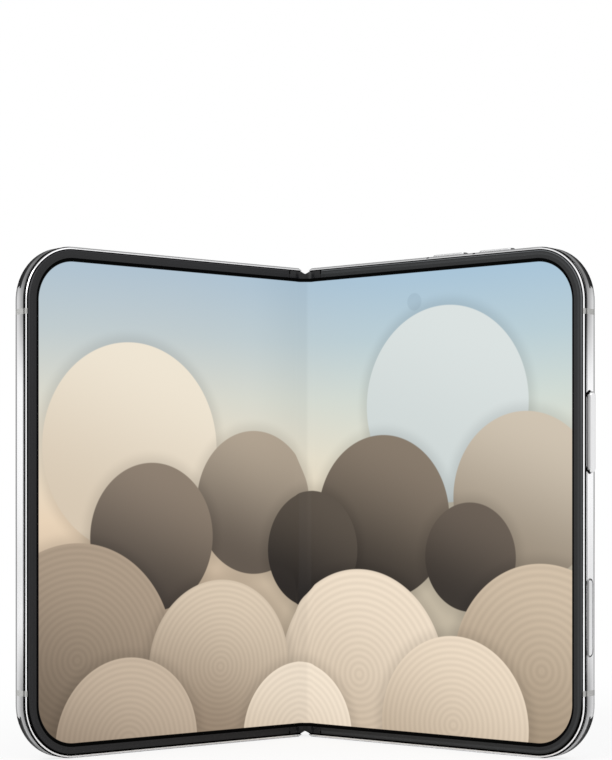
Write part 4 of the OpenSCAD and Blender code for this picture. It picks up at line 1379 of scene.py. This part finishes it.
@dataclass
class BottomScrews:
    """The two small screws beside the socket, with six-lobed drives."""

    socket_s: float = 41.9 * MM
    spread: float = 7 * MM
    depth: float = 2.45 * MM
    radius: float = 0.75 * MM
    lobe_radius: float = 0.36 * MM
    lobe_rise: float = 0.16
    drive_depth: float = 0.35 * MM
    bevel: float = 0.06 * MM
    head_z: float = 0.15 * MM
    end_z: float = 3.65 * MM
    steps: int = 48

    def build(self, material: Material) -> Piece:
        """Builds both screws in place of the plain ones."""
        surface = Surface()
        turns = [2 * math.pi * k / self.steps for k in range(self.steps)]
        lobed = [self.lobe_radius * (1 + self.lobe_rise * math.cos(6 * a)) for a in turns]
        plain = [self.radius] * self.steps
        floor = self.head_z + self.drive_depth
        rings = [
            (plain, self.end_z, 1.0), (plain, self.head_z + self.bevel, 1.0),
            (plain, self.head_z, 1.0 - self.bevel / self.radius), (lobed, self.head_z, 1.0),
            (lobed, floor, 1.0), (lobed, floor + 0.03 * MM, 0.1),
        ]
        for side in (-1, 1):
            middle = self.socket_s + side * self.spread
            rows = [
                [(middle + size * r * math.cos(a), self.depth + size * r * math.sin(a), z)
                 for r, a in zip(radii, turns)]
                for radii, z, size in rings
            ]
            surface.sheet(rows, closed=True)
            surface.cap(rows[0])
            surface.cap(rows[-1])
        piece = surface.build("bottom_screws_dressed", leaf_place(Side.RIGHT), material)
        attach(piece, "right_leaf")
        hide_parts("bottom_screws")
        log.info("bottom screws: six-lobed drives")
        return piece


@dataclass
class SocketContacts:
    """The gold contact strips on both faces of the socket's tongue."""

    socket_s: float = 41.9 * MM
    depth: float = 2.45 * MM
    count: int = 12
    pitch: float = 0.5 * MM
    width: float = 0.25 * MM
    tongue_half: float = 0.35 * MM
    sunk: float = 0.02 * MM
    proud: float = 0.03 * MM
    soft: float = 0.01 * MM
    start_z: float = 2.3 * MM
    end_z: float = 6.6 * MM

    def build(self, material: Material) -> Piece:
        """Builds the strips."""
        surface = Surface()
        for face in (-1, 1):
            for k in range(self.count):
                s = self.socket_s + (k - (self.count - 1) / 2) * self.pitch
                ends = (self.tongue_half - self.sunk, self.tongue_half + self.proud)
                near, far = sorted(self.depth + face * past for past in ends)
                low = (s - self.width / 2, near, self.start_z)
                high = (s + self.width / 2, far, self.end_z)
                surface.box(low, high, self.soft)
        piece = surface.build("socket_contacts", leaf_place(Side.RIGHT), material)
        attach(piece, "right_leaf")
        log.info("socket contacts: %d strips", 2 * self.count)
        return piece


@dataclass
class Dressing:
    """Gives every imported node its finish, by the slot that the record names for it."""

    steel: Colour = srgb(250, 250, 251)
    # One rim polymer in a lighter and a darker copy by side, as painted light: the right leaf is lit more.
    rims: Mapping[Side, Colour] = field(default_factory=lambda: {
        Side.LEFT: srgb(22, 22, 24), Side.RIGHT: srgb(30, 31, 32)})
    # How strong the painted highlights on each rim are.
    rim_sheen: Mapping[Side, float] = field(default_factory=lambda: {
        Side.LEFT: 0.25, Side.RIGHT: 1.0})
    # Per side, where the band's lines lie and how strong its painted shade is.
    bands: Mapping[Side, Mapping[str, float]] = field(default_factory=lambda: {
        Side.LEFT: {"line_to": 0.88, "line_side": 0.16, "lip_side": 0.4, "corner_shade": 0.42,
                    "rear_shade": 0.66},
        Side.RIGHT: {"line_to": 0.84, "line_side": 0.14, "lip_side": 0.52, "corner_shade": 0.22,
                     "rear_shade": 0.5}})
    keys: Tuple[Key, ...] = (
        Key(16.3, 18.8), Key(-26.7, 17.8, shadow=0.35), Key(44.4, 9.8, True), Key(58.0, 9.8, True),
    )
    coil_s: float = 44.9 * MM
    coil_depth: float = 4.2 * MM
    coil_z: float = 55.55 * MM
    made: Dict[str, Material] = field(default_factory=dict)

    @staticmethod
    def plain_finishes() -> Dict[str, Finish]:
        """The finishes that need only a colour, a roughness, a metallic value and a grain in mm."""
        rows = (
            ("plate_alloy", (128, 131, 136), 0.42, 1.0, 0.3),
            ("spring_steel", (176, 160, 120), 0.35, 1.0, 0.15),
            ("screw_steel", (140, 141, 144), 0.3, 1.0, 0.1),
            ("shield_tin", (200, 201, 203), 0.32, 1.0, 0.4),
            ("flex_film", (168, 104, 44), 0.35, 0.0, 0.5),
            ("camera_black", (14, 14, 15), 0.5, 0.0, 0.1),
            ("module_black", (26, 26, 28), 0.55, 0.0, 0.12),
            ("motor_steel", (176, 177, 180), 0.3, 1.0, 0.2),
            ("socket_steel", (178, 178, 180), 0.28, 1.0, 0.2),
        )
        return {
            slot: Finish(slot, srgb(*colour), roughness, metallic, grain * MM)
            for slot, colour, roughness, metallic, grain in rows
        }

    def finishes(self) -> Dict[str, Finish]:
        """The finish of each slot that is the same on both leaves."""
        coil = tuple(PHONE.on_leaf(Side.RIGHT, self.coil_s, self.coil_depth, self.coil_z))
        return self.plain_finishes() | {
            "frame_metal": Finish("spine_polish", self.steel, 0.17, 1.0, 0.1 * MM, 0.0006 * MM,
                                  0.03, BRUSHED),
            "key_metal": KeyPolish("key_polish", self.steel, 0.15, wall_shade=0.34),
            "guard_polymer": Finish("guard_polymer", srgb(16, 16, 17), 0.36, ior=1.15),
            "rim_polymer": RimPolymer("rim_polymer_fold", self.rims[Side.LEFT], 0.42,
                                      grain=0.1 * MM),
            "cover_glass": CoverGlass("cover_glass_black", srgb(16, 16, 18), 0.05, coat=0.4),
            "rear_glass": CoverGlass("rear_glass_satin", srgb(214, 216, 218), 0.3, ior=1.45,
                                     tint=srgb(200, 202, 205), coat=0.25),
            "display_panel": CoverGlass("cover_panel_dark", srgb(12, 12, 16), 0.12),
            "lens_glass": CoverGlass("lens_coated", srgb(10, 12, 22), 0.03, coat=1.0, ior=1.7),
            "hinge_steel": Finish("hinge_steel", srgb(170, 170, 172), 0.3, 1.0, 0.2 * MM,
                                  stretch=BRUSHED),
            "gear_steel": Finish("gear_steel", srgb(196, 194, 190), 0.25, 1.0, 0.1 * MM,
                                 stretch=BRUSHED),
            "battery_pouch": Finish("battery_pouch", srgb(28, 30, 38), 0.35, 0.0, 2 * MM,
                                    0.05 * MM, 0.2),
            "board_laminate": BoardLaminate("board_laminate", srgb(14, 62, 44)),
            "flash_lens": Finish("flash_lens", srgb(240, 236, 214), 0.25, 0.0, 0.4 * MM, 0.06 * MM,
                                 coat=0.6),
            "copper_coil": WoundCopper("copper_coil", srgb(196, 118, 70), centre=coil),
        }

    def material(self, slot: str) -> Material:
        """The material of a slot, made once."""
        if slot not in self.made:
            self.made[slot] = self.finishes()[slot].material()
        return self.made[slot]

    def node_finishes(self) -> Dict[str, Finish]:
        """The finishes of the nodes that have one of their own, with the lines of their side."""
        own: Dict[str, Finish] = {}
        for side in Side:
            name = side.label
            own[f"{name}_frame"] = PolishedBand(
                f"frame_polish_{name}", self.steel, 0.12, side=side,
                keys=self.keys if side is Side.RIGHT else (), **self.bands[side])
            own[f"{name}_rim"] = RimPolymer(
                f"rim_polymer_{name}", self.rims[side], 0.42, grain=0.1 * MM, side=side,
                sheen=self.rim_sheen[side])
            own[f"{name}_antenna_bands"] = AntennaPolymer(
                f"antenna_polymer_{name}", srgb(168, 168, 166), 0.42, side=side)
        # The capture key's painted wall shade reaches further; the volume keys get little painted wall shade, and
        # painted shade at their ends.
        own["capture_key"] = KeyPolish("capture_key_polish", self.steel, 0.15, wall_to=1.76,
                                       wall_shade=0.52)
        for name in ("volume_up_key", "volume_down_key"):
            own[name] = KeyPolish(f"{name}_polish", self.steel, 0.15, wall_shade=0.12,
                                  keys=self.keys[2:])
        return own

    def dress(self) -> None:
        """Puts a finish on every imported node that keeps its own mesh."""
        own = {node: finish.material() for node, finish in self.node_finishes().items()}
        for part in frame["record"]["subparts"]:
            slot = part["material_slot"]
            if slot == "inner_screen":
                continue
            chosen = own.get(part["node"]) or self.material(slot)
            materials = frame["nodes"][part["node"]].data.materials
            materials.clear()
            materials.append(chosen)
        log.info("dressed %d nodes", len(frame["nodes"]))

    def clear_glass(self) -> Material:
        """Nearly clear coated glass for the lens covers."""
        made = bpy.data.materials.new("lens_cover_glass")
        made.use_nodes = True
        graph = Graph(made.node_tree)
        smear = graph.noise(graph.place(), 300.0, 4.0)
        graph.principled({
            "Base Color": (0.02, 0.022, 0.03),
            "Roughness": 0.02 + smear * 0.04,
            "Alpha": 0.22 + smear * 0.05,
            "IOR": 1.5,
            "Coat Weight": 1.0,
        })
        made.blend_method = "HASHED"
        return made


# Studio


@dataclass
class Studio:
    """A plain white studio: pale floor, soft light and the photograph's camera.

    The camera sees the floor as white but for a share of its shadow, which ends a little way from
    the phone. Reflections see softer greys than the camera does.
    """

    image_width: int = 612
    image_height: int = 760
    focal_pixels: float = 2002.0
    fold_pixel: Tuple[float, float] = (305.15, 502.42)
    distance: float = 513.5 * MM
    sensor_width: float = 36.0
    floor_size: float = 6.0
    floor_steps: int = 12
    floor_grey: float = 0.96
    shadow_seen: float = 0.2
    shadow_from: float = 0.09
    shadow_to: float = 0.24
    ambient: float = 0.8
    white: Colour = (1.0, 1.0, 1.0)
    lamp_size: float = 0.6
    lamps: Tuple[Tuple[str, Point, float], ...] = (
        ("key", (-0.5, -0.6, 0.6), 3.4), ("fill", (0.7, -0.35, 0.5), 0.8),
    )

    def camera(self) -> Piece:
        """Makes the camera, level with the phone's middle, shifted as the photograph is."""
        data = bpy.data.cameras.new("camera")
        data.sensor_width = self.sensor_width
        data.lens = self.sensor_width * self.focal_pixels / self.image_height
        data.shift_x = (self.image_width / 2 - self.fold_pixel[0]) / self.image_height
        data.shift_y = (self.fold_pixel[1] - self.image_height / 2) / self.image_height
        data.clip_start = 0.01
        data.clip_end = 50.0
        made = bpy.data.objects.new("camera", data)
        made.location = (PHONE.middle, PHONE.back - self.distance, PHONE.height / 2)
        made.rotation_euler = (math.pi / 2, 0.0, 0.0)
        bpy.context.scene.collection.objects.link(made)
        bpy.context.scene.camera = made
        return made

    def world(self) -> None:
        """Makes the light from all round: white to the camera, soft grey shades in reflections."""
        made = bpy.data.worlds.new("studio")
        made.use_nodes = True
        bpy.context.scene.world = made
        graph = Graph(made.node_tree)
        direction = graph.node("ShaderNodeTexCoord", out="Generated")
        rise = graph.dot(direction, (0.0, 0.0, 1.0))
        deep = graph.dot(direction, (0.0, 1.0, 0.0))
        front = deep.ramp(0.05, -0.2)
        level = front * rise.absolute().ramp(0.98, 0.6)
        level = level + (1.0 - front) * rise.absolute().ramp(0.6, 0.1)
        shade = 0.3 + level * deep.ramp(0.62, 0.42) * 0.72 + rise.ramp(0.3, 0.8) * 0.28
        camera, glossy, through = (
            graph.node("ShaderNodeLightPath", out=f"Is {ray} Ray")
            for ray in ("Camera", "Glossy", "Transmission")
        )
        strength = self.ambient + glossy * (shade - self.ambient)
        strength = strength + camera.most(through) * (1.0 - strength)
        shader = graph.node("ShaderNodeBackground", None,
                            {"Color": self.white, "Strength": strength})
        graph.surface(shader, "ShaderNodeOutputWorld")

    def floor(self) -> Piece:
        """Makes the floor, which fades to plain white away from the phone."""
        surface = Surface()
        half = self.floor_size / 2
        count = self.floor_steps
        steps = [half * (2 * k / count - 1) for k in range(count + 1)]
        surface.sheet([[(x, y, 0.0) for x in steps] for y in steps])
        material = bpy.data.materials.new("studio_floor")
        material.use_nodes = True
        graph = Graph(material.node_tree)
        place = graph.place()
        away = graph.node("ShaderNodeVectorMath", {"operation": "LENGTH"}, {0: place}, out="Value")
        grain = graph.noise(place, 220.0, 3.0)
        grey = (self.floor_grey,) * 3
        diffuse = graph.node("ShaderNodeBsdfDiffuse", None,
                             {"Color": graph.scale(grey, 0.99 + grain * 0.02)})
        white = graph.node("ShaderNodeEmission", None, {"Color": self.white})
        camera = graph.node("ShaderNodeLightPath", out="Is Camera Ray")
        clear = away.ramp(self.shadow_from, self.shadow_to)
        share = camera * (1.0 - self.shadow_seen + clear * self.shadow_seen)
        mixed = graph.node("ShaderNodeMixShader", None, {0: share, 1: diffuse, 2: white})
        graph.surface(mixed)
        made = surface.build("floor", np.copy, material)
        return made

    def lamp(self, name: str, place: Point, power: float) -> None:
        """Makes one soft square lamp that points at the middle of the phone."""
        data = bpy.data.lights.new(name, "AREA")
        data.size = self.lamp_size
        data.energy = power
        made = bpy.data.objects.new(name, data)
        made.location = place
        aim = Vector((0.0, 0.0, PHONE.height / 2)) - Vector(place)
        made.rotation_euler = aim.to_track_quat("-Z", "Y").to_euler()
        bpy.context.scene.collection.objects.link(made)

    def set_up(self) -> None:
        """Makes the camera, floor, world and lamps."""
        self.camera()
        self.world()
        self.floor()
        for name, place, power in self.lamps:
            self.lamp(name, place, power)
        bpy.context.scene.view_settings.view_transform = "Standard"
        log.info("studio: camera %.0f mm away", self.distance / MM)


def main() -> None:
    """Builds the studio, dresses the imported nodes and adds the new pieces."""
    logging.basicConfig(level=logging.INFO, format="%(name)s: %(message)s")
    Studio().set_up()
    dressing = Dressing()
    dressing.dress()
    InnerScreen().dress()
    FoldTrims().dress(dressing.material("rim_polymer"))
    HingeCircuits().dress(dressing.material("flex_film"))
    RearLenses().dress(dressing.material("camera_black"), dressing.material("lens_glass"),
                       dressing.clear_glass())
    BottomScrews().build(dressing.material("screw_steel"))
    SocketContacts().build(dressing.material("copper_coil"))


if __name__ == "__main__":
    main()
